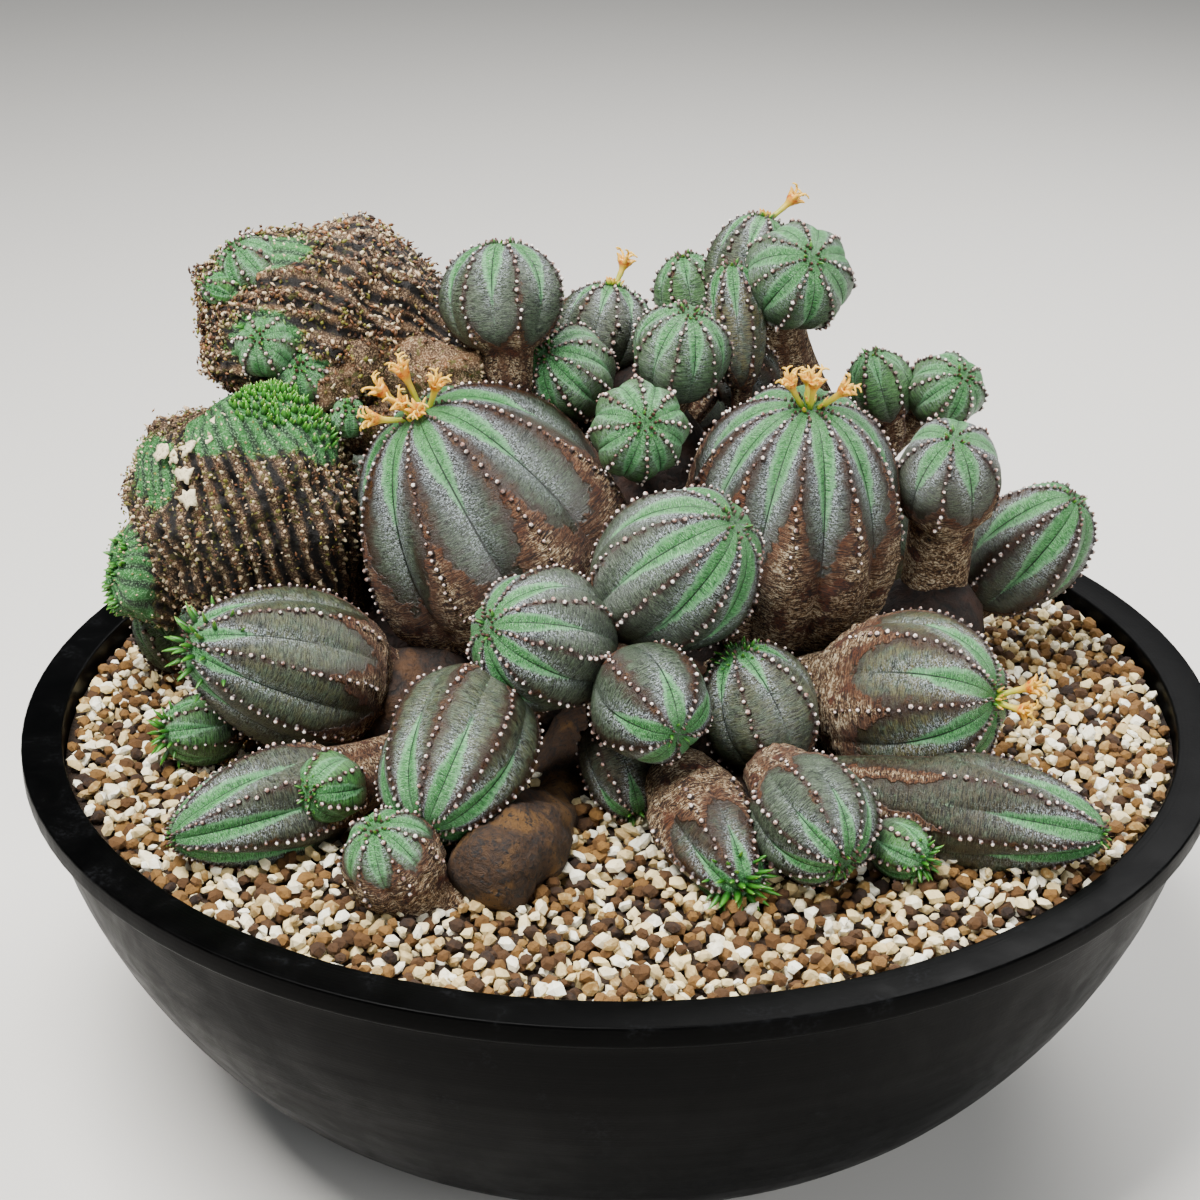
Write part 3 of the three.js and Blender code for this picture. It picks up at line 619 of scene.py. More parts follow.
OLD_STEMS = [
    stem("stem_old_left", (-32, -8, 148), (-0.44, -0.16, 0.88), 34, 38, (-16, 6, 92), fuller=-0.12,
         turn=12, depth=0.13, green=0.42, rust=0.18, cork=0.56, fine=72, leaves=0),
    stem("stem_old_right", (42, -5, 147), (0.08, -0.25, 1), 28.5, 38, (38, 4, 92), ribs=10, turn=12,
         depth=0.12, green=0.48, rust=0.13, cork=0.48, fine=72, leaves=0),
]
STEMS = [
    stem("stem_front_centre", (12.4, -45, 153), (0.65, -0.27, 0.71), 19, 21, (2, -6, 132), green=0.8),
    stem("stem_front_centre_left", (-17.4, -57, 141), (-0.73, -0.5, 0.45), 16.5, 18, (-8, -22, 128),
         turn=8, green=0.65),
    stem("stem_front_low", (6.3, -72, 133), (0.43, -0.89, -0.11), 13.8, 14.5, (4, -34, 118), ribs=5,
         turn=21, green=0.55, rust=0.1),
    stem("stem_front_shaded", (0, -58, 109), (0.3, -0.62, -0.62), 9.5, 13, (2, -28, 108), ribs=6, turn=15,
         leaves=9, leaf=2.6, wash=0.5),
    stem("stem_mid_right", (32, -56, 123), (-0.37, 0.1, 0.92), 14.3, 16, (30, -24, 113), ribs=6, turn=9,
         leaves=30, leaf=2.0, old=0.3, green=0.45),
    stem("stem_right_large", (68, -45, 119.5), (0.83, -0.48, 0.27), 21.5, 24, (20, -8, 108), ribs=7,
         turn=34, green=0.6, rust=0.1, cork=0.72, old=0.7, fine=56, neck=0.6),
    stem("stem_left_large", (-79.5, -38, 125), (-0.82, -0.36, 0.42), 19.5, 27, (-42, -20, 112), turn=20,
         fuller=-0.15, point=1.1, leaves=34, leaf=4, green=0.4, cork=0.85, fine=56, old=0.35, neck=0.55),
    stem("stem_front_left", (-37, -75, 120.5), (-0.3, -0.87, -0.39), 17.8, 22, (-22, -44, 112),
         fuller=-0.08, leaves=8, leaf=2.0, green=0.7, rust=0.1, old=0.3, fine=56),
    stem("stem_front_left_low", (-50, -97, 107), (-0.3, -0.3, 0.9), 11.5, 12, (-38, -91, 99), ribs=7,
         turn=3, leaves=12, leaf=1.9, green=0.85, neck=0.85, stalk=True, cork=0.6, young=0.3),
    stem("stem_left_bud", (-66.5, -73, 111.5), (-0.45, -0.83, 0.3), 8.6, 9, (-47, -34, 107), ribs=6,
         turn=43, leaves=16, leaf=1.8, green=0.9, young=0.9),
    stem("stem_left_lying", (-81.5, -73, 106), (-0.83, -0.53, -0.02), 14, 24, (-50, -34, 106), ribs=7,
         turn=21, fuller=-0.2, point=1.25, depth=0.2, green=0.9, leaves=8, leaf=1.8, neck=0.65, wash=0.3),
    stem("stem_far_left_bud", (-101, -34, 106), (-0.9, -0.3, 0.05), 9, 10.5, (-65, -30, 110), ribs=6,
         leaves=28, leaf=3.6, green=0.8, young=0.6),
    stem("stem_far_left_rear", (-118, 16, 107), (-0.5, 0.1, 0.85), 8, 11, (-78, 8, 110), ribs=6,
         green=0.7, young=0.3),
    stem("stem_right_low", (42, -89, 112.5), (0.45, -0.84, -0.29), 14.2, 15, (32, -58, 104), turn=20,
         leaves=12, leaf=2.2, green=0.65, neck=0.6),
    stem("stem_centre_lying", (20, -85, 106.5), (0.36, -0.85, -0.3), 12, 19, (14, -48, 104), ribs=6,
         fuller=-0.15, depth=0.18, leaves=40, leaf=4.4, green=0.6, cork=0.7, rust=0.12, wash=0.7,
         neck=0.8),
    stem("stem_right_bud", (62, -87, 104), (0.7, -0.68, -0.1), 7, 8, (35, -62, 103), ribs=6, leaves=24,
         leaf=2.8, green=0.9, young=0.7),
    stem("stem_right_lying", (85, -77, 107), (0.94, -0.3, -0.04), 13, 25, (31, -50, 103), ribs=6,
         fuller=-0.18, point=1.2, depth=0.2, leaves=12, leaf=2.2, green=0.8, wash=0.5, neck=0.75,
         cork=1.1),
    stem("stem_right_stalked", (81, 0, 158), (-0.02, -0.5, 0.87), 13.6, 16, (80, 8, 112), ribs=5, turn=6,
         neck=0.62, stalk=True, cork=0.72, green=0.6, wash=0.2),
    stem("stem_far_right", (106, 24, 129), (0.5, -0.3, 0.75), 16, 21, (78, 14, 106), ribs=6, turn=51,
         fuller=-0.1, depth=0.16, green=0.85, rust=0.1, wash=0.3),
    stem("stem_top_left", (-28.2, 10, 201), (-0.05, 0.3, 0.95), 15.8, 14, (-20, 26, 162), ribs=7, turn=29,
         green=0.75),
    stem("stem_top_inner_left", (-13, 14, 180), (-0.46, -0.58, 0.67), 12.4, 12.5, (-2, 26, 158), turn=43,
         green=0.8, young=0.4),
    stem("stem_top_centre", (4.4, -15, 176), (0.12, -0.86, 0.5), 12.2, 12.2, (4, 14, 158), leaves=8,
         leaf=1.8, green=0.75, young=0.5),
    stem("stem_top_inner_right", (15, 10, 187), (0.15, -0.25, 0.95), 12.3, 12.5, (8, 26, 158), ribs=7,
         turn=1, green=0.7, young=0.25),
    stem("stem_top_rear", (-4, 35, 184.5), (0.2, 0.3, 0.93), 13, 12, (0, 32, 160), wash=0.2),
    stem("stem_top_right", (44.4, 30, 199.7), (0.2, -0.78, 0.62), 14, 14.5, (54, 34, 156), ribs=7,
         turn=11, neck=0.5, stalk=True, cork=0.95, green=0.8, young=0.3),
    stem("stem_top_right_rear", (34, 47, 196), (0.25, 0.3, 0.92), 12.5, 15, (12, 34, 152), old=0.2),
    stem("stem_top_column", (29.4, 26, 188), (-0.1, 0.1, 0.99), 7.5, 17, (20, 30, 152), ribs=6,
         fuller=0.1, old=0.8),
    stem("stem_top_rear_left", (18.5, 50, 189), (-0.2, 0.1, 0.97), 9.5, 11, (14, 42, 156), ribs=6,
         stalk=True, young=0.5),
    stem("stem_top_small", (33, 37, 171), (-0.3, -0.4, 0.86), 9, 10, (12, 32, 152), ribs=6, rust=0.2,
         green=0.3, wash=0.6),
    stem("stem_rear_right_inner", (70.5, 60, 160), (-0.3, 0, 0.95), 9.5, 10.5, (48, 59, 128), ribs=6,
         stalk=True, young=0.7),
    stem("stem_rear_right_outer", (87.5, 58, 159.5), (0.38, -0.62, 0.65), 10.8, 10.5, (56, 60, 122),
         ribs=7, turn=38, stalk=True, green=0.8, young=0.5),
]
REAR_STEMS = [
    stem("stem_back_left", (-62, 62, 124), (-0.5, 0.7, 0.5), 20, 22, (-14, 28, 110), fine=34),
    stem("stem_back_centre", (-16, 82, 124), (-0.1, 0.85, 0.5), 21, 23, (-4, 46, 110), fine=34, rust=0.1),
    stem("stem_back_right", (32, 84, 116), (0.3, 0.9, 0.3), 17, 20, (16, 52, 108), fine=34, old=0.3),
    stem("stem_back_far_right", (72, 64, 118), (0.6, 0.75, 0.3), 17, 19, (42, 44, 108), fine=34),
    stem("stem_back_upper", (-34, 52, 158), (-0.35, 0.6, 0.7), 16, 17, (-8, 36, 140), fine=34),
    stem("stem_back_upper_right", (16, 68, 155), (0.1, 0.8, 0.6), 14.5, 15, (8, 44, 136), fine=34,
         young=0.3),
    stem("stem_back_low_left", (-96, 48, 108), (-0.75, 0.6, 0.2), 11, 13, (-64, 18, 106), ribs=6,
         stalk=True, fine=34),
]
# Small heads that sprout from the upper crest, with no solid of their own
BUDS = [
    stem("bud_middle", (-85.5, 4, 190.5), (-0.15, -0.8, 0.55), 8, 8, (-82, 14, 189), ribs=6, green=1.0,
         young=0.6, fine=26),
    stem("bud_below", (-77, 3, 183), (0, -0.72, 0.68), 6.8, 6.5, (-75, 12, 182), ribs=6, green=1.0,
         young=0.9, fine=26),
    stem("bud_above", (-90, 18, 206), (-0.5, -0.25, 0.8), 8.5, 8, (-84, 20, 198), ribs=7, green=1.0,
         young=0.5, fine=26),
    stem("bud_outer", (-97, 13, 202), (-0.8, -0.4, 0.4), 4.5, 5, (-90, 15, 199), ribs=5, green=1.0,
         young=1.0, fine=26),
    stem("bud_inner", (-66, -1, 174), (0.1, -0.6, 0.8), 5, 5, (-66, 4, 166), ribs=6, green=1.0, young=0.9,
         fine=26),
]


def profile(one, angle):
    """Radius and reach along the axis, as shares, at an angle from the apex."""
    radius = np.sin(angle) ** one["point"] * (1 + one["fuller"] * np.cos(angle))
    dip = one["dimple"] * np.exp(-((angle / DIMPLE_SPREAD) ** 2))
    return radius, np.cos(angle) - dip


def apex_of(one):
    return one["at"] + one["tip"] * one["h"] * profile(one, 0.0)[1]


def rib_cut(place):
    """How deep the skin lies across a rib: 0 on its crest and 1 in the furrow."""
    return (1 - np.abs(place)) ** 1.25


class Body:
    """The skin of one stem as a function of the angle from the apex and the turn round the axis."""

    def __init__(self, one):
        self.one = one
        self.u, self.v = across(one["tip"], one["side"])
        self.start = math.pi - math.asin(min(0.9, one["neck"]))
        self.turn = math.radians(one["turn"])
        self.seed = sum(map(ord, one["name"]))

    def point(self, angle, turn, lift=0.0):
        """Points on the skin, raised by lift millimetres."""
        one = self.one
        angle, turn = np.broadcast_arrays(np.asarray(angle, float), np.asarray(turn, float))
        share, along = profile(one, angle)
        sector = (turn - self.turn) * one["ribs"] / (2 * math.pi)
        place = 1 - 2 * np.abs(sector - np.round(sector))
        fade = smoothstep(self.start - angle, 0, RIB_FADE)
        cut = one["depth"] * fade * rib_cut(place)
        if one["depth"]:
            cut = cut + CREASE * fade * np.exp(-((place / 0.07) ** 2)) * smoothstep(share, 0.1, 0.4)
        radius = one["r"] * share * (1 - cut) + lift * np.sin(np.maximum(angle, 0.2))
        sideways = radius * np.cos(turn)
        rise = one["h"] * along
        if one["wide"] > 1:
            sideways = sideways * one["wide"] * np.sin(np.maximum(angle, 0.02)) ** -one["square"]
            rise = rise * (1 - one["droop"] * (sideways / (one["r"] * one["wide"])) ** 2 * (along > 0))
        rise = rise + lift * np.cos(angle)
        spot = sideways[..., None] * self.u + (radius * np.sin(turn))[..., None] * self.v
        spot = one["at"] + spot + rise[..., None] * one["tip"]
        flat = spot.reshape(-1, 3)
        bulge = 0.022 * one["r"] * waves(flat, one["r"] * 1.6, self.seed)
        return (flat + unit_rows(flat - one["at"]) * bulge[:, None]).reshape(spot.shape)

    def crest_turns(self):
        return self.turn + 2 * math.pi * np.arange(self.one["ribs"]) / self.one["ribs"]


def bezier(first, middle, last, share):
    share = np.asarray(share, float)[:, None]
    return (1 - share) ** 2 * first + 2 * share * (1 - share) * middle + share**2 * last


def add_skin(build, body):
    """The neck and the ribbed body as one closed skin."""
    one = body.one
    ribs = one["ribs"]
    step = math.pi / ribs
    sectors = np.arange(ribs)[:, None] * 2 * step + step
    turns = (body.turn + sectors + np.array(ACROSS_RIB) * step).ravel()
    groove = np.abs(np.tile(ACROSS_RIB, ribs))
    around = len(turns)

    fine = one["fine"]
    spread = np.linspace(0, 1, fine)
    angles = body.start + (0.03 - body.start) * (spread - 0.06 * np.sin(2 * math.pi * spread))
    rings = body.point(angles[:, None], turns[None, :])

    collar = rings[0].mean(0)
    reach = 0.5 * np.linalg.norm(collar - one["root"])
    shares = np.linspace(0, 1, 9)[:-1]
    middle = collar - one["tip"] * reach
    path = bezier(one["root"], middle, collar, shares)
    low = 1.0 if one["stalk"] else 0.35
    neck = [centre + (rings[0] - collar) * (low + (1 - low) * share) for share, centre in zip(shares, path)]
    rings = np.concatenate([np.array(neck), rings])

    outer = rings[:, 0]
    arc = np.concatenate([[0], np.cumsum(np.linalg.norm(np.diff(outer, axis=0), axis=1))])
    body_arc = arc[len(neck) :] - arc[len(neck)]
    along = np.concatenate([1 + 0 * shares, 1 - body_arc / body_arc[-1]])
    to_apex = arc[-1] - arc

    count = len(rings)
    flow = np.empty((count, around, 3))
    flow[..., 0] = np.cos(turns) * one["r"] * ROUND_STRETCH
    flow[..., 1] = np.sin(turns) * one["r"] * ROUND_STRETCH
    flow[..., 2] = to_apex[:, None] + body.seed
    points = np.concatenate([rings.reshape(-1, 3), [apex_of(one)], [one["root"]]])
    last = count * around
    values = dict(
        groove=np.concatenate([np.tile(groove, count), [1, 1]]),
        along=np.concatenate([np.repeat(along, around), [0, 1]]),
        flow=np.concatenate([flow.reshape(-1, 3), [[0, 0, 0], [0, 0, 0]]]),
        traits=(one["green"], one["rust"], one["cork"]),
        tone=(one["old"], one["wash"], one["young"]),
    )
    corky = smoothstep(values["along"] - one["cork"], 0, 0.06)
    marked = np.flatnonzero(corky > 0)
    relief = 0.9 * rough(points[marked], 3.0) + 0.35 * rough(points[marked], 1.0)
    points[marked] += unit_rows(points[marked] - one["at"]) * (corky[marked] * relief)[:, None]
    build.add(points, closed_faces(count, around, last, last + 1), **values)


NUB_SIDES = 5
NUB_RINGS = ((-0.35, 0.82, 0.0), (0.35, 0.6, 0.45), (0.78, 0.28, 1.0))


def add_nub(build, place, way, size, along, rng, tall=1.0, slot=1):
    """One blunt tubercle standing on the skin."""
    u, v = across(way)
    turn = rng.uniform(0, 2 * math.pi)
    round_ = swing(turn + circle(NUB_SIDES), u, v)
    rings = [place + way * rise * size * tall + round_ * width * size for rise, width, _ in NUB_RINGS]
    tip = place + way * size * tall * 0.86
    points = np.concatenate(rings + [[tip]])
    rise = np.concatenate([np.repeat([k for _, _, k in NUB_RINGS], NUB_SIDES), [1.0]])
    faces = closed_faces(len(NUB_RINGS), NUB_SIDES, len(NUB_RINGS) * NUB_SIDES)
    build.add(points, faces, slot, rise=rise, along=along)


def add_nubs(build, body, rng):
    """Rows of tubercles on the crests, closer and more pointed near the apex."""
    one = body.one
    last = min(body.start - 0.15, 0.4 + 2.2 * one["cork"])
    table = np.linspace(0.1, last, 160)
    for turn in body.crest_turns():
        line = body.point(table, turn)
        arc = np.concatenate([[0], np.cumsum(np.linalg.norm(np.diff(line, axis=0), axis=1))])
        distance = rng.uniform(0.2, 1.0)
        while distance < arc[-1]:
            share = distance / arc[-1]
            angle = np.interp(distance, arc, table)
            sway = rng.normal(0, 0.35) / max(4.0, one["r"] * math.sin(angle))
            spot = body.point(angle, turn + sway)
            near = body.point(angle, turn + sway, 1.0)
            way = unit(near - spot + one["tip"] * 0.25 + rng.normal(0, 0.12, 3))
            size = rng.uniform(0.5, 1.0) * (0.85 + 0.3 * smoothstep(share, 0.0, 0.3))
            tall = 1.1 + 0.9 * float(smoothstep(share, 0.22, 0.0))
            add_nub(build, spot, way, size, share, rng, tall)
            step = NUB_STEP_YOUNG + (NUB_STEP - NUB_STEP_YOUNG) * float(smoothstep(share, 0.0, 0.35))
            distance += step * rng.uniform(0.8, 1.3)


BLADE_SIDES = 5
BLADE_FLAT = 0.7
BLADE_RISES = (0.0, 0.3, 0.62, 0.88)
BLADE_WIDTHS = (0.8, 1.0, 0.72, 0.3)
GOLDEN_TURN = 2.4


def add_blade(build, root, way, out, length, width, slot=2):
    """A small fleshy pointed leaf that curves outwards."""
    u, v = across(way)
    round_ = swing(circle(BLADE_SIDES), u, BLADE_FLAT * v)
    rings = []
    for rise, wide in zip(BLADE_RISES, BLADE_WIDTHS):
        centre = root + way * rise * length + out * (rise * length) ** 2 * 0.06
        rings.append(centre + round_ * wide * width)
    tip = root + way * length + out * length**2 * 0.07
    points = np.concatenate(rings + [[tip]])
    faces = closed_faces(len(rings), BLADE_SIDES, len(rings) * BLADE_SIDES)
    build.add(points, faces, slot, rise=np.append(np.repeat(BLADE_RISES, BLADE_SIDES), 1.0))


def add_leaves(build, body, rng):
    """A spiral of young leaves round the apex."""
    one = body.one
    for k in range(one["leaves"]):
        share = (k + 0.5) / one["leaves"]
        turn = k * GOLDEN_TURN + rng.uniform(-0.2, 0.2)
        spread = 0.12 + 0.75 * share * min(1.0, one["leaf"] * one["leaves"] / (one["r"] * 7))
        root = body.point(spread, turn, -0.4)
        out = swing(turn, body.u, body.v)
        way = unit(swing(0.15 + 1.3 * share, one["tip"], out))
        full = 0.6 + 0.5 * math.sin(math.pi * min(1.0, share + 0.25))
        length = one["leaf"] * full * rng.uniform(0.85, 1.15)
        add_blade(build, root, way, out, length, 0.16 * length + 0.18)


def make_stem(one):
    body = Body(one)
    rng = np.random.default_rng(body.seed)
    build = Build("groove", "along", "rise", vectors=("flow", "traits", "tone"))
    add_skin(build, body)
    add_nubs(build, body, rng)
    add_leaves(build, body, rng)
    return build.make(one["name"] + "_live", [SKIN, NUB, LEAF])


for one in OLD_STEMS + STEMS + REAR_STEMS:
    dress(make_stem(one), "stem_skin", one["name"])
for one in BUDS:
    dress(make_stem(one), "stem_skin")

# Bowl


def lathe(build, profile_points, segments):
    """A closed surface of revolution round Z, from one point on the axis to another."""
    inner = np.array(profile_points[1:-1], float)
    a = circle(segments)
    rings = np.empty((len(inner), segments, 3))
    rings[..., 0] = inner[:, :1] * np.cos(a)
    rings[..., 1] = inner[:, :1] * np.sin(a)
    rings[..., 2] = inner[:, 1:]
    ends = [[0, 0, profile_points[0][1]], [0, 0, profile_points[-1][1]]]
    last = len(inner) * segments
    points = np.concatenate([rings.reshape(-1, 3), ends])
    build.add(points, closed_faces(len(inner), segments, last + 1, last))


def rounded(corners, radius=0.7, steps=3):
    """The outline with each inner corner turned into a short arc."""
    corners = [np.array(c, float) for c in corners]
    out = [corners[0]]
    for before, corner, after in zip(corners, corners[1:], corners[2:]):
        to_before = before - corner
        to_after = after - corner
        back = min(radius, 0.45 * np.linalg.norm(to_before), 0.45 * np.linalg.norm(to_after))
        first = corner + unit(to_before) * back
        last = corner + unit(to_after) * back
        out.extend(bezier(first, corner, last, np.linspace(0, 1, steps + 1)))
    return out + [corners[-1]]


def lining(clear):
    """The bowl's inner side from under the lip to its axis, or a line that much clear of it."""
    side = [(r - WALL - clear, z + 1) for r, z in reversed(BOWL_SIDE[2:-1])]
    return side + [(BOWL_SIDE[1][0] - WALL, BASE_TOP + WALL + clear), (0, BASE_TOP + clear)]


def make_bowl():
    side = np.array(BOWL_SIDE, float)
    smooth_side = []
    for spot in np.linspace(0, len(side) - 1, 22):
        k = min(int(spot), len(side) - 2)
        smooth_side.append(spline(side, k, spot - k))
    inner_rim = RIM_RADIUS - LIP_WIDTH
    outline = [(0, BASE_UNDER), (FOOT_INNER - 2, BASE_UNDER), (FOOT_INNER, 0), (FOOT_OUTER, 0)]
    outline += [tuple(p) for p in smooth_side]
    outline += [(RIM_RADIUS, RIM_TOP - LIP_DEPTH), (RIM_RADIUS, RIM_TOP), (inner_rim, RIM_TOP)]
    outline += [(inner_rim, RIM_TOP - LIP_BAND)]
    outline += lining(0.0)
    build = Build()
    lathe(build, rounded(outline), BOWL_SEGMENTS)
    piece = build.make("bowl_shell", [BOWL])
    dress(piece, "bowl", "bowl")


make_bowl()

# Grit


def grain_shape(rng, angular):
    """One stone: a rounded block cut by a few random planes. 14 points and 24 triangles."""
    corners = [(x, y, z) for x in (-1, 1) for y in (-1, 1) for z in (-1, 1)]
    index = {corner: k for k, corner in enumerate(corners)}
    points = [unit(corner) for corner in corners]
    faces = []
    for axis in range(3):
        for sign in (-1, 1):
            middle = len(points)
            points.append(unit(np.eye(3)[axis] * sign))
            loop = []
            for a, b in ((-1, -1), (1, -1), (1, 1), (-1, 1)):
                corner = [0, 0, 0]
                corner[axis] = sign
                corner[(axis + 1) % 3] = a
                corner[(axis + 2) % 3] = b
                loop.append(index[tuple(corner)])
            for k in range(4):
                edge = (loop[k], loop[(k + 1) % 4])
                faces.append((edge[0], edge[1], middle) if sign > 0 else (edge[1], edge[0], middle))
    points = np.array(points)
    for _ in range(6):
        way = unit(rng.normal(size=3))
        limit = rng.uniform(0.55, 0.9) if angular else rng.uniform(0.75, 1.0)
        over = np.maximum(points @ way - limit, 0)
        points -= over[:, None] * way
    points *= 1 + rng.normal(0, 0.05, (len(points), 1))
    return points, np.array(faces)


def covered(x, y, z, bodies):
    """True where a stem's body already fills the place."""
    hidden = np.zeros(len(x), bool)
    spots = np.stack([x, y, z], -1)
    for one in bodies:
        off = spots - one["at"]
        along = off @ one["tip"]
        aside = np.linalg.norm(off - along[:, None] * one["tip"], axis=1)
        hidden |= (along / one["h"]) ** 2 + (aside / one["r"]) ** 2 < 0.72
    return hidden


def make_grit():
    rng = np.random.default_rng(21)
    stems = OLD_STEMS + STEMS + REAR_STEMS
    spots = []
    for layer, (lift, keep) in enumerate(GRIT_LAYERS):
        step = GRIT_SPACING
        rows = np.arange(-GRIT_EDGE, GRIT_EDGE, step * 0.87)
        for j, y in enumerate(rows):
            xs = np.arange(-GRIT_EDGE, GRIT_EDGE, step) + (j % 2) * step / 2 + layer * 1.3
            xs = xs + rng.uniform(-0.9, 0.9, len(xs))
            ys = y + rng.uniform(-0.9, 0.9, len(xs))
            r = np.hypot(xs, ys)
            mound = GRIT_MOUND * np.maximum(0, 1 - (r / GRIT_EDGE) ** 2)
            zs = GRIT_TOP - 1.2 + mound + lift + rng.uniform(-0.6, 0.6, len(xs))
            good = (r < GRIT_EDGE - 1.6) & (rng.random(len(xs)) < keep) & ~covered(xs, ys, zs, stems)
            good &= (r > 62) | (ys < -40)
            spots.append(np.stack([xs, ys, zs], -1)[good])
    spots = np.concatenate(spots)
    kinds = {"cream": CREAM, "tan": TAN}
    shapes = {kind: [grain_shape(rng, kind == "cream") for _ in range(GRAIN_SHAPES)] for kind in kinds}
    builds = {kind: Build("tint") for kind in kinds}
    for spot in spots:
        kind = "cream" if rng.random() < CREAM_SHARE else "tan"
        points, faces = shapes[kind][rng.integers(GRAIN_SHAPES)]
        length = rng.uniform(1.5, 2.7) if kind == "cream" else rng.uniform(1.5, 2.5)
        if kind == "cream":
            flat = (1.0, rng.uniform(0.6, 0.85), rng.uniform(0.5, 0.75))
        else:
            flat = (1.0, 0.9, rng.uniform(0.7, 0.9))
        turn = np.linalg.qr(rng.normal(size=(3, 3)))[0]
        if np.linalg.det(turn) < 0:
            turn[:, 0] *= -1
        tilted = (points * length * np.array(flat)) @ turn.T
        tilted[:, 2] *= 0.85
        builds[kind].add(tilted + spot, [faces], tint=rng.random())
    for kind, material in kinds.items():
        piece = builds[kind].make("grit_grains_" + kind, [material], smooth=False)
        dress(piece, "grit")

    bed = Build()
    edge = GRIT_EDGE + 0.3
    rings = [(0, GRIT_TOP + GRIT_MOUND - BED_DOWN)]
    for r in np.linspace(10, edge, 16):
        rings.append((r, GRIT_TOP - BED_DOWN + GRIT_MOUND * max(0, 1 - (r / GRIT_EDGE) ** 2)))
    rings += [(edge, RIM_TOP - LIP_BAND)]
    rings += lining(BED_CLEAR)
    lathe(bed, rings[::-1], 96)
    piece = bed.make("grit_bed", [GAP_SHADE])
    dress(piece, "grit", "grit")


make_grit()

# Trunk

# Each limb: its path, its radii, and how much it shows in the light, which sets how far its bark is painted
# near black as shade
TRUNK_LIMBS = [
    (((2, 12, 46), (2, 12, 84), (2, 14, 104), (2, 22, 134), (4, 28, 158), (6, 30, 168)),
     (9, 26, 34, 27, 20, 12), 0.0),
    (((-6, -20, 96), (-16, -54, 94), (-23, -82, 103), (-28, -96, 104.5)), (14, 8, 11, 10), 1.0),
    (((-18, -6, 104), (-52, -30, 110), (-64, -34, 112)), (18, 14, 9), 0.35),
    (((24, 6, 100), (60, 10, 106), (84, 8, 116)), (20, 15, 12), 0.0),
    (((-20, 8, 100), (-66, 8, 108), (-84, 4, 124)), (20, 16, 14), 0.0),
    (((14, -14, 100), (24, -44, 101), (30, -66, 101)), (16, 12, 9), 0.35),
    (((-4, 24, 140), (-28, 28, 160), (-44, 26, 170)), (18, 14, 12), 0.0),
    (((4, 26, 104), (4, 58, 106), (22, 66, 104)), (22, 16, 10), 0.0),
    (((14, 32, 112), (44, 54, 120), (54, 60, 128)), (18, 14, 9), 0.0),
    (((26, 34, 112), (48, 38, 136), (54, 34, 158)), (13, 10, 7), 0.0),
    (((0, 10, 70), (-34, 2, 56), (-56, -2, 42)), (9, 6, 2.5), 0.0),
    (((0, 10, 70), (36, 6, 54), (58, 16, 40)), (9, 6, 2.5), 0.0),
    (((0, 10, 66), (6, 42, 50), (2, 62, 38)), (9, 5, 2.5), 0.0),
    (((0, 10, 66), (-4, -26, 50), (2, -52, 36)), (9, 5, 2.5), 0.0),
]


def smooth_path(points, radii, steps):
    """A curve through the points, with the radius smoothed in the same way."""
    knots = np.column_stack([np.array(points, float), radii])
    out = []
    for k in range(len(knots) - 1):
        out += [spline(knots, k, t) for t in np.arange(steps) / steps]
    out = np.array(out + [knots[-1]])
    return out[:, :3], out[:, 3]


def add_tube(build, path, radii, sides, bumpy=0.0, dome=0.8, **values):
    """A round bar along a path, its ends closed by domes."""
    ways = unit_rows(np.gradient(path, axis=0))
    u, _ = across(ways[0])
    rings = []
    centres = list(path)
    widths = list(radii)
    turns = list(ways)
    for share in (0.45, 0.8):
        centres.insert(0, path[0] - ways[0] * radii[0] * share * dome)
        widths.insert(0, radii[0] * math.sqrt(1 - share**2))
        turns.insert(0, ways[0])
        centres.append(path[-1] + ways[-1] * radii[-1] * share * dome)
        widths.append(radii[-1] * math.sqrt(1 - share**2))
        turns.append(ways[-1])
    for centre, width, way in zip(centres, widths, turns):
        u = unit(u - way * u.dot(way))
        rings.append(centre + width * swing(circle(sides), u, np.cross(way, u)))
    flat = np.concatenate(rings)
    if bumpy:
        relief = bumpy * (waves(flat, 9, 5) * 0.8 + 1.2 * rough(flat, 5.0))
        flat = flat + unit_rows(flat - np.repeat(centres, sides, axis=0)) * relief[:, None]
    cap = 0.375 * dome
    ends = [centres[0] - turns[0] * widths[0] * cap, centres[-1] + turns[-1] * widths[-1] * cap]
    faces = closed_faces(len(rings), sides, len(flat) + 1, len(flat))
    build.add(np.concatenate([flat, ends]), faces, **values)


def make_trunk():
    build = Build("open")
    for points, radii, lit_share in TRUNK_LIMBS:
        path, widths = smooth_path(points, radii, 10)
        # The share of light sets how much of this limb's bark is painted dark as shade
        add_tube(build, path, widths, 28, bumpy=0.9, open=lit_share)
    piece = build.make("trunk_bark", [BARK])
    dress(piece, "bark", "trunk")


make_trunk()

# Flowers

FLOWERS = [
    ("flowers_old_left", "stem_old_left", 4.5,
     ((205, 0.9, 10), (160, 0.45, 10.5), (250, 0.35, 7), (20, 0.1, 13), (350, 0.75, 9), (290, 0.7, 5))),
    ("flowers_old_right", "stem_old_right", 4.5,
     ((190, 0.5, 8.5), (270, 0.15, 9), (350, 0.7, 8.5), (100, 0.4, 6))),
    ("flowers_right_large", "stem_right_large", 2.8, ((60, 0.25, 9), (260, 0.3, 7.5))),
    ("flowers_top_right", "stem_top_right_rear", 2.4, ((0, 0.6, 8.5),)),
    ("flowers_top_rear", "stem_top_rear", 2.4, ((20, 0.2, 7),)),
]


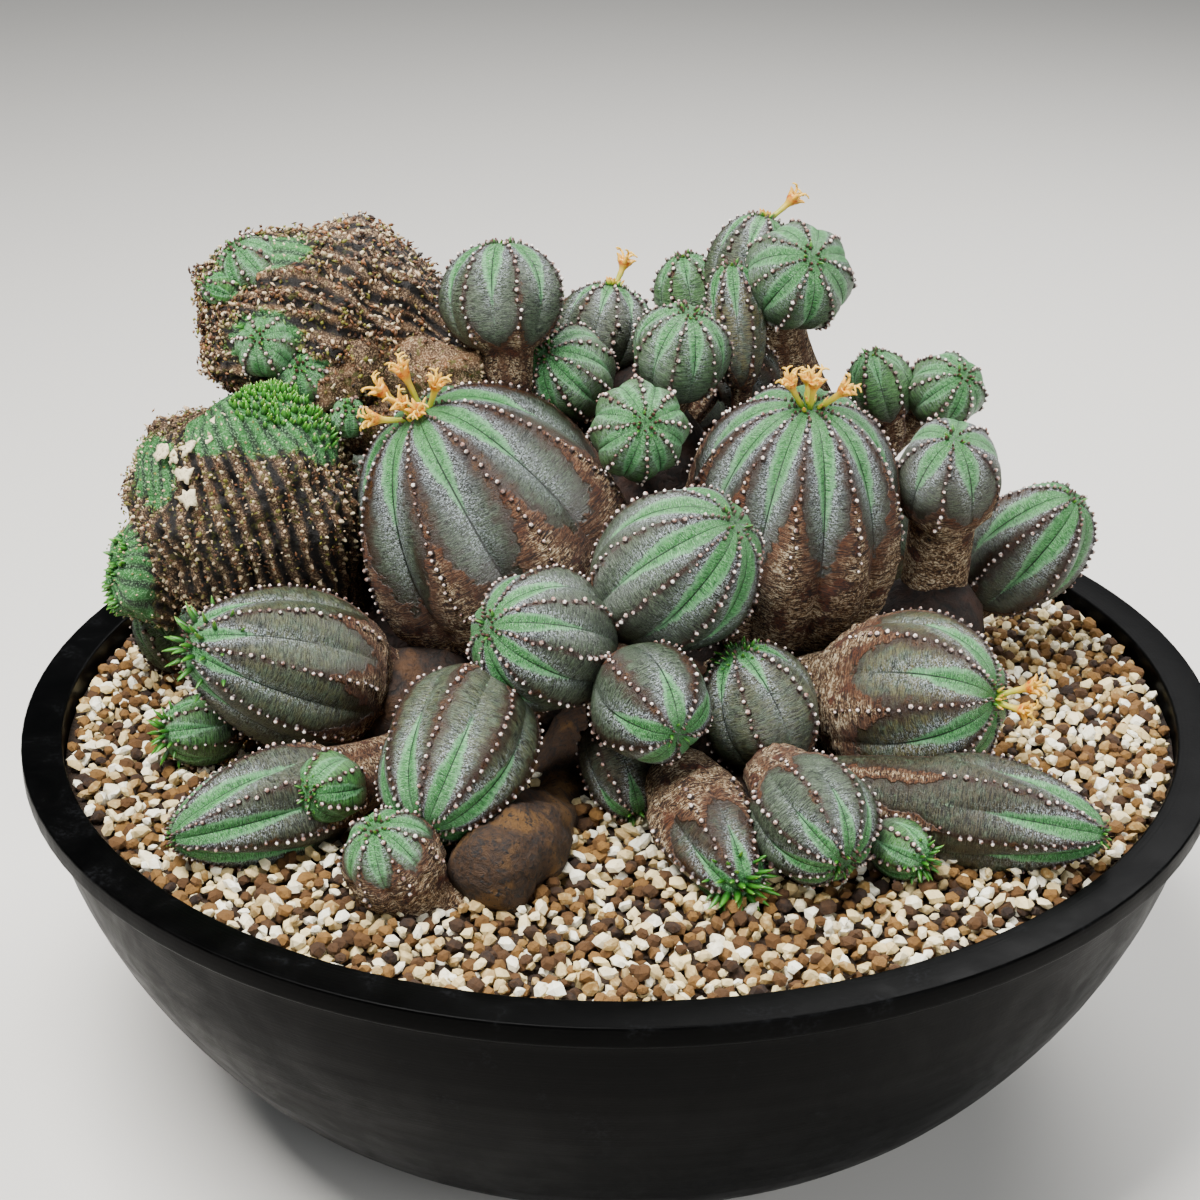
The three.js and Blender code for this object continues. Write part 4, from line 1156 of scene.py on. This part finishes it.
def add_flower(build, foot, way, side, length, rng):
    """A stalk that widens to a small open cup with flaring lobes and three curled, forked arms."""
    top = foot + way * length
    middle = (foot + top) / 2 + side * 0.5
    shares = np.linspace(0, 1, 14)
    path = bezier(foot - way * 0.8, middle, top, shares)
    widths = 0.72 + 0.06 * np.sin(shares * 14) + 1.0 * smoothstep(shares, 0.6, 0.9)
    widths = widths + 0.25 * smoothstep(shares, 0.9, 1.0)
    rise = np.concatenate([[0, 0], shares * 0.88, [0.8, 0.7]])
    add_tube(build, path, widths, 10, dome=-0.3, rise=np.repeat(rise, 10).tolist() + [0, 0.6])
    u, v = across(way)
    start = rng.uniform(0, 2 * math.pi)
    for k in range(5):
        out = swing(start + 2 * math.pi * (k + 0.5) / 5, u, v)
        root = top + out * 1.25 - way * 0.7
        edge = root + way * 1.5 + out * 1.5
        lobe = bezier(root, root + way * 1.3 + out * 0.4, edge, np.linspace(0, 1, 5))
        add_tube(build, lobe, (0.62, 0.66, 0.56, 0.4, 0.2), 6, rise=0.86)
    for k in range(3):
        out = swing(start + 2 * math.pi * k / 3 + rng.uniform(-0.25, 0.25), u, v)
        root = top + out * 0.6 - way * 0.4
        knee = root + way * rng.uniform(2.0, 2.7) + out * rng.uniform(0.8, 1.5)
        arm = bezier(root, root + way * 1.8, knee, np.linspace(0, 1, 6))
        add_tube(build, arm, np.linspace(0.42, 0.32, 6), 6, rise=1.0)
        for hand in (-1, 1):
            aside = np.cross(way, out) * hand
            bend = knee + way * 0.6 + out * 0.5 + aside * 0.5
            tip = knee + way * rng.uniform(-0.2, 0.4) + out * 1.1 + aside * 1.2
            fork = bezier(knee, bend, tip, np.linspace(0, 1, 5))
            add_tube(build, fork, np.linspace(0.32, 0.2, 5), 6, rise=1.0)


def make_flowers():
    hosts = {one["name"]: one for one in OLD_STEMS + STEMS}
    for name, host, pad, stalks in FLOWERS:
        one = hosts[host]
        rng = np.random.default_rng(Body(one).seed + 1)
        u, v = across(one["tip"], (1, 0, 0))
        apex = apex_of(one)
        build = Build("rise")
        for turn, out, length in stalks:
            side = swing(math.radians(turn), u, v)
            way = unit(swing(out, one["tip"], side))
            foot = apex + side * pad * 0.6 * min(1, out + 0.2)
            add_flower(build, foot, way, side, length, rng)
        for k in range(9):
            side = swing(k * GOLDEN_TURN, u, v)
            spot = apex + side * pad * 0.1 * k
            add_blade(build, spot, unit(one["tip"] + 0.4 * side), side, 2.2, 0.6, slot=0)
        piece = build.make(name + "_open", [FLOWER])
        dress(piece, "flower", name)


make_flowers()

# Crested stems

CREST_SLOTS = [CREST, SCALE, LEAF]
SCALE_SLOT = 1
CREST_ACROSS = (-1.0, -0.6, -0.25, 0.0, 0.25, 0.6)
CREST_SHARDS = (4400, 6000, 500)
CRESTS = [
    stem("crest_lower", (-91, -4, 153.5), (-0.3, -0.1, 0.95), 20, 26, (-76, 8, 104), ribs=38, depth=0.085,
         wide=1.42, square=0.62, droop=0.15, side=(1, 0.15, 0.3), neck=0.6, dimple=0, fine=84, sway=0.05,
         wander=0.02, lumpy=1.2, scales=0.62),
    stem("crest_upper", (-73.5, 20, 194), (-0.97, -0.12, -0.03), 17.2, 30, (-36, 24, 178), ribs=30,
         depth=0.045, wide=1.2, square=0.42, side=(0.25, 0.4, 0.85), neck=0.8, dimple=0, fine=84,
         sway=0.5, wander=0.1, lumpy=1.3, scales=0.9),
    stem("crest_lobe", (-119.5, 12, 128), (-0.75, -0.3, 0.2), 14.5, 12, (-97, 4, 138), ribs=20, depth=0.1,
         neck=0.6, dimple=0, fine=48, sway=0.2, wander=0.06, lumpy=0.8, scales=0.7),
]
# Green places on each crest: centre, and how far they reach along X, Y and Z
GREEN_PLACES = {
    "crest_lower": (((-84, -9, 178), (15, 13, 10)), ((-72, -8, 173), (8, 9, 8)),
                    ((-98, -13, 176), (8, 9, 7)), ((-112, -16, 166), (7, 9, 9))),
    "crest_upper": (((-92, 17, 210), (8, 7, 6)), ((-98, 12, 203), (5, 5, 4)), ((-86, 3, 193), (9, 6, 7)),
                    ((-77, 3, 185), (8, 6, 4)), ((-84, 16, 211), (10, 8, 4))),
    "crest_lobe": (((-127, 4, 128), (12, 16, 15)), ((-118, 18, 122), (9, 14, 9))),
}
# Leafy tufts on each crest: centre, reach and number of leaves
TUFTS = {
    "crest_lower": (((-84, -8, 179), (13, 9, 7), 190), ((-71, -8, 174), (7, 8, 7), 40)),
    "crest_upper": (((-98, 12, 203), (4, 4, 4), 12), ((-86, 3, 195), (7, 5, 4), 14)),
    "crest_lobe": (((-127, 4, 136), (6, 12, 8), 30), ((-130, 5, 122), (6, 10, 6), 30)),
}
# Old dead flakes on the lower crest: centre and size
FLAKES = (((-96, -13.5, 177), 3.2), ((-98.5, -16, 174.5), 2.0), ((-102.5, -17.5, 172.5), 2.4),
          ((-103, -21, 167), 2.6), ((-102.5, -23, 162), 3.0), ((-109, -16, 170.5), 2.8),
          ((-106, -17.5, 170), 1.8))
SHARD = np.array(((1, 0, 0), (0, 1, 0), (-1, 0, 0), (0, -1, 0), (0, 0, 1), (0, 0, -1)), float)
SHARD_FACES = np.array(((0, 1, 4), (1, 2, 4), (2, 3, 4), (3, 0, 4),
                        (1, 0, 5), (2, 1, 5), (3, 2, 5), (0, 3, 5)))


def nearness(points, places):
    """How deep each point lies in the nearest of some soft-edged places, from 0 to 1."""
    best = np.zeros(len(points))
    for centre, reach in places:
        off = np.linalg.norm((points - np.array(centre)) / np.array(reach), axis=1)
        best = np.maximum(best, smoothstep(off, 1.25, 0.75))
    return best


def add_shards(build, spots, ways, green, rng, size=1.0):
    """A small flat closed scale at each spot, tilted at random about the way out of the skin."""
    count = len(spots)
    ways = unit_rows(ways + rng.normal(0, 0.45, (count, 3)))
    u = unit_rows(np.cross(ways, rng.normal(size=(count, 3))))
    v = np.cross(ways, u)
    long_ = size * rng.uniform(0.5, 1.35, (count, 1, 1))
    wide = size * rng.uniform(0.3, 0.75, (count, 1, 1))
    thick = size * rng.uniform(0.2, 0.6, (count, 1, 1))
    points = spots[:, None] + SHARD[:, :1] * long_ * u[:, None]
    points = points + SHARD[:, 1:2] * wide * v[:, None] + SHARD[:, 2:] * thick * ways[:, None]
    faces = (SHARD_FACES[None] + 6 * np.arange(count)[:, None, None]).reshape(-1, 3)
    tint = np.repeat(rng.random(count), 6)
    build.add(points.reshape(-1, 3), [faces], SCALE_SLOT, tint=tint, green=np.repeat(green, 6))


def make_crest(one, shards):
    """A crested stem: a crumbling lump whose flutes wander, with rows of spines and loose scales."""
    body = Body(dict(one, depth=0.0))
    rng = np.random.default_rng(body.seed)
    build = Build("green", "tint", "rise", "along", "groove")
    ribs = one["ribs"]
    step = math.pi / ribs
    turns = (np.arange(ribs)[:, None] * 2 * step + step + np.array(CREST_ACROSS) * step).ravel() + body.turn
    around = len(turns)
    angles = np.linspace(body.start, 0.06, one["fine"])
    spread = angles[:, None] + 0.05 * np.sin(5 * turns)[None, :] + 0.03 * np.sin(13 * turns + 1)[None, :]
    sway = one["sway"] * np.sin(1.6 * angles + 0.4)[:, None]
    sway = sway + one["wander"] * np.sin(4 * angles[:, None] + 3 * turns[None, :])
    rings = body.point(np.clip(spread, 0.03, body.start + 0.1), turns[None, :] + sway)

    collar = rings[0].mean(0)
    shares = np.linspace(0, 1, 15)[:-1]
    bend = collar - one["tip"] * 0.2 * np.linalg.norm(collar - one["root"])
    path = bezier(one["root"], bend, collar, shares)
    neck = [centre + (rings[0] - collar) * (0.68 + 0.32 * share) for share, centre in zip(shares, path)]
    count = one["fine"] + len(neck)
    flat = np.concatenate(neck + [rings.reshape(-1, 3)])
    middle = np.repeat(np.concatenate([path, collar + 0 * rings.mean(1)]), around, axis=0)
    middle[len(neck) * around :] = one["at"]
    out = unit_rows(flat - middle)

    green = nearness(flat, GREEN_PLACES[one["name"]])
    groove = np.tile(np.abs(np.tile(CREST_ACROSS, ribs)), count)
    strength = 0.55 + 0.75 * waves(flat, 16, body.seed + 9)
    cut = one["depth"] * one["r"] * (1 - groove) ** 1.25 * np.maximum(strength, 0.1)
    crumble = 0.35 + 0.65 * (1 - green)
    lumps = one["lumpy"] * waves(flat, 27, body.seed + 5) + 0.9 * waves(flat, 12, body.seed + 3)
    bumps = lumps - cut + crumble * (1.5 * rough(flat, 4.5) + 0.9 * rough(flat, 1.6))
    flat = flat + out * bumps[:, None]
    points = np.concatenate([flat, [apex_of(one) + one["tip"] * bumps[-around:].mean()], [one["root"]]])
    down = np.concatenate([np.ones(len(neck)), (angles - angles[-1]) / body.start])
    values = dict(
        green=np.concatenate([green, [0, 0]]),
        groove=np.concatenate([groove, [1, 1]]),
        along=np.concatenate([np.repeat(down, around), [0, 1]]),
    )
    build.add(points, closed_faces(count, around, len(flat), len(flat) + 1), **values)

    chosen = rng.choice(np.flatnonzero(green < 0.75), shards)
    lift = rng.uniform(-0.1, 0.8, (shards, 1))
    jitter = rng.normal(0, 0.6, (shards, 3))
    spots = flat[chosen] + out[chosen] * lift + jitter
    add_shards(build, spots, out[chosen], green[chosen], rng, one["scales"])

    for k in range(ribs):
        column = (k * len(CREST_ACROSS)) % around
        row = len(neck) + rng.integers(0, 3)
        while row < count - 6:
            id_ = row * around + column
            before = build.count
            size = rng.uniform(0.5, 0.85) * (1 - 0.45 * green[id_])
            add_nub(build, flat[id_], unit(out[id_] + rng.normal(0, 0.15, 3)), size, 1.0, rng, 1.3)
            build.values["tint"][-1] = np.full(build.count - before, rng.uniform(0.75, 1.0))
            row += int(rng.integers(3, 6))

    for centre, reach, leaves in TUFTS[one["name"]]:
        off = np.linalg.norm((flat - np.array(centre)) / np.array(reach), axis=1)
        inside = np.flatnonzero(off < max(0.8, 1.2 * off.min()))
        for id_ in rng.choice(inside, leaves):
            way = unit(out[id_] + one["tip"] * 0.5 + rng.normal(0, 0.25, 3))
            length = rng.uniform(1.4, 2.7)
            add_blade(build, flat[id_] - way * 0.4, way, out[id_], length, 0.27 * length + 0.2)

    return build, rng


def add_flakes(build, rng):
    """Pale dead flakes, each a thin crumpled patch with a closed underside."""
    for centre, size in FLAKES:
        centre = np.array(centre, float)
        way = unit(centre - CRESTS[0]["at"] + (0, -6, 0))
        u, v = across(way)
        count = 14
        rim = size * (0.45 + 0.75 * rng.random(count))[:, None] * swing(circle(count), u, v)
        lift = rng.uniform(0.1, 1.1, (count, 1))
        rings = [centre + rim * 0.96 + way * (lift - 0.5), centre + rim + way * lift]
        rings.append(centre + rim * 0.5 + way * rng.uniform(0.4, 0.9, (count, 1)))
        points = np.concatenate(rings + [[centre + way * 0.6], [centre - way * 0.3]])
        build.add(points, closed_faces(3, count, 3 * count, 3 * count + 1), SCALE_SLOT, tint=1.0)


def make_crests():
    for one, shards in zip(CRESTS, CREST_SHARDS):
        build, rng = make_crest(one, shards)
        if one["name"] == "crest_lower":
            add_flakes(build, rng)
        if one["name"] == "crest_upper":
            add_crust(build, rng)
        piece = build.make(one["name"] + "_scaly", CREST_SLOTS)
        dress(piece, "crested_skin", one["name"])


# Old crust beside the upper crest, down to the stems next to it
CRUST_PATHS = (
    (((-66, 16, 186), (-50, 12, 182), (-36, 9, 182), (-26, 10, 184)), (9, 8.5, 6.5, 4)),
    (((-64, 10, 186), (-70, 6, 180), (-80, 6, 177)), (8, 7, 5)),
    (((-66, 8, 168), (-58, 8, 171), (-48, 12, 172)), (6, 6, 6)),
)


def add_crust(build, rng):
    for points, radii in CRUST_PATHS:
        path, widths = smooth_path(points, radii, 9)
        add_tube(build, path, widths, 48, bumpy=1.4, along=0.5, groove=0.8)
        skin = build.points[-1]
        spots = skin[rng.integers(0, len(skin), 500)]
        middle = path[np.argmin(np.linalg.norm(spots[:, None] - path[None], axis=2), axis=1)]
        ways = unit_rows(spots - middle)
        add_shards(build, spots + rng.normal(0, 0.4, spots.shape), ways, np.zeros(len(spots)), rng)


make_crests()

# Stage, lights and camera


def make_stage():
    mesh = bpy.data.meshes.new("floor")
    half = 4.0
    corners = [(-half, -half, 0), (half, -half, 0), (half, half, 0), (-half, half, 0)]
    mesh.from_pydata(corners, [], [(0, 1, 2, 3)])
    floor = bpy.data.objects.new("floor", mesh)
    bpy.context.scene.collection.objects.link(floor)
    look = Look("floor_pale")
    mesh.materials.append(look.finish("d9d6d0", 0.9))
    world = bpy.data.worlds.new("studio")
    bpy.context.scene.world = world
    world.use_nodes = True
    world.node_tree.nodes["Background"].inputs[0].default_value = (0.85, 0.92, 1.0, 1.0)
    world.node_tree.nodes["Background"].inputs[1].default_value = 0.16


def add_light(name, place, aim, size, watts, colour=(1, 1, 1)):
    data = bpy.data.lights.new(name, "AREA")
    data.size = size
    data.energy = watts
    data.color = colour
    light = bpy.data.objects.new(name, data)
    light.location = place
    light.rotation_euler = (Vector(aim) - Vector(place)).to_track_quat("-Z", "Y").to_euler()
    bpy.context.scene.collection.objects.link(light)


def make_camera():
    data = bpy.data.cameras.new("camera")
    data.lens = CAMERA_LENS
    data.sensor_width = CAMERA_SENSOR
    data.sensor_fit = "HORIZONTAL"
    camera = bpy.data.objects.new("camera", data)
    camera.location = CAMERA_PLACE
    camera.rotation_euler = (math.radians(90 - CAMERA_ELEVATION), 0, 0)
    bpy.context.scene.collection.objects.link(camera)
    bpy.context.scene.camera = camera


make_stage()
AIM = (0, 0, 0.12)
add_light("key", (-0.3, -0.25, 1.05), AIM, 0.55, 34.0, (1.0, 0.99, 0.97))
add_light("rear", (0.35, 0.6, 0.9), AIM, 0.6, 14.0)
add_light("fill", (0.6, -0.9, 0.5), AIM, 0.7, 9.0, (0.96, 0.98, 1.0))
make_camera()
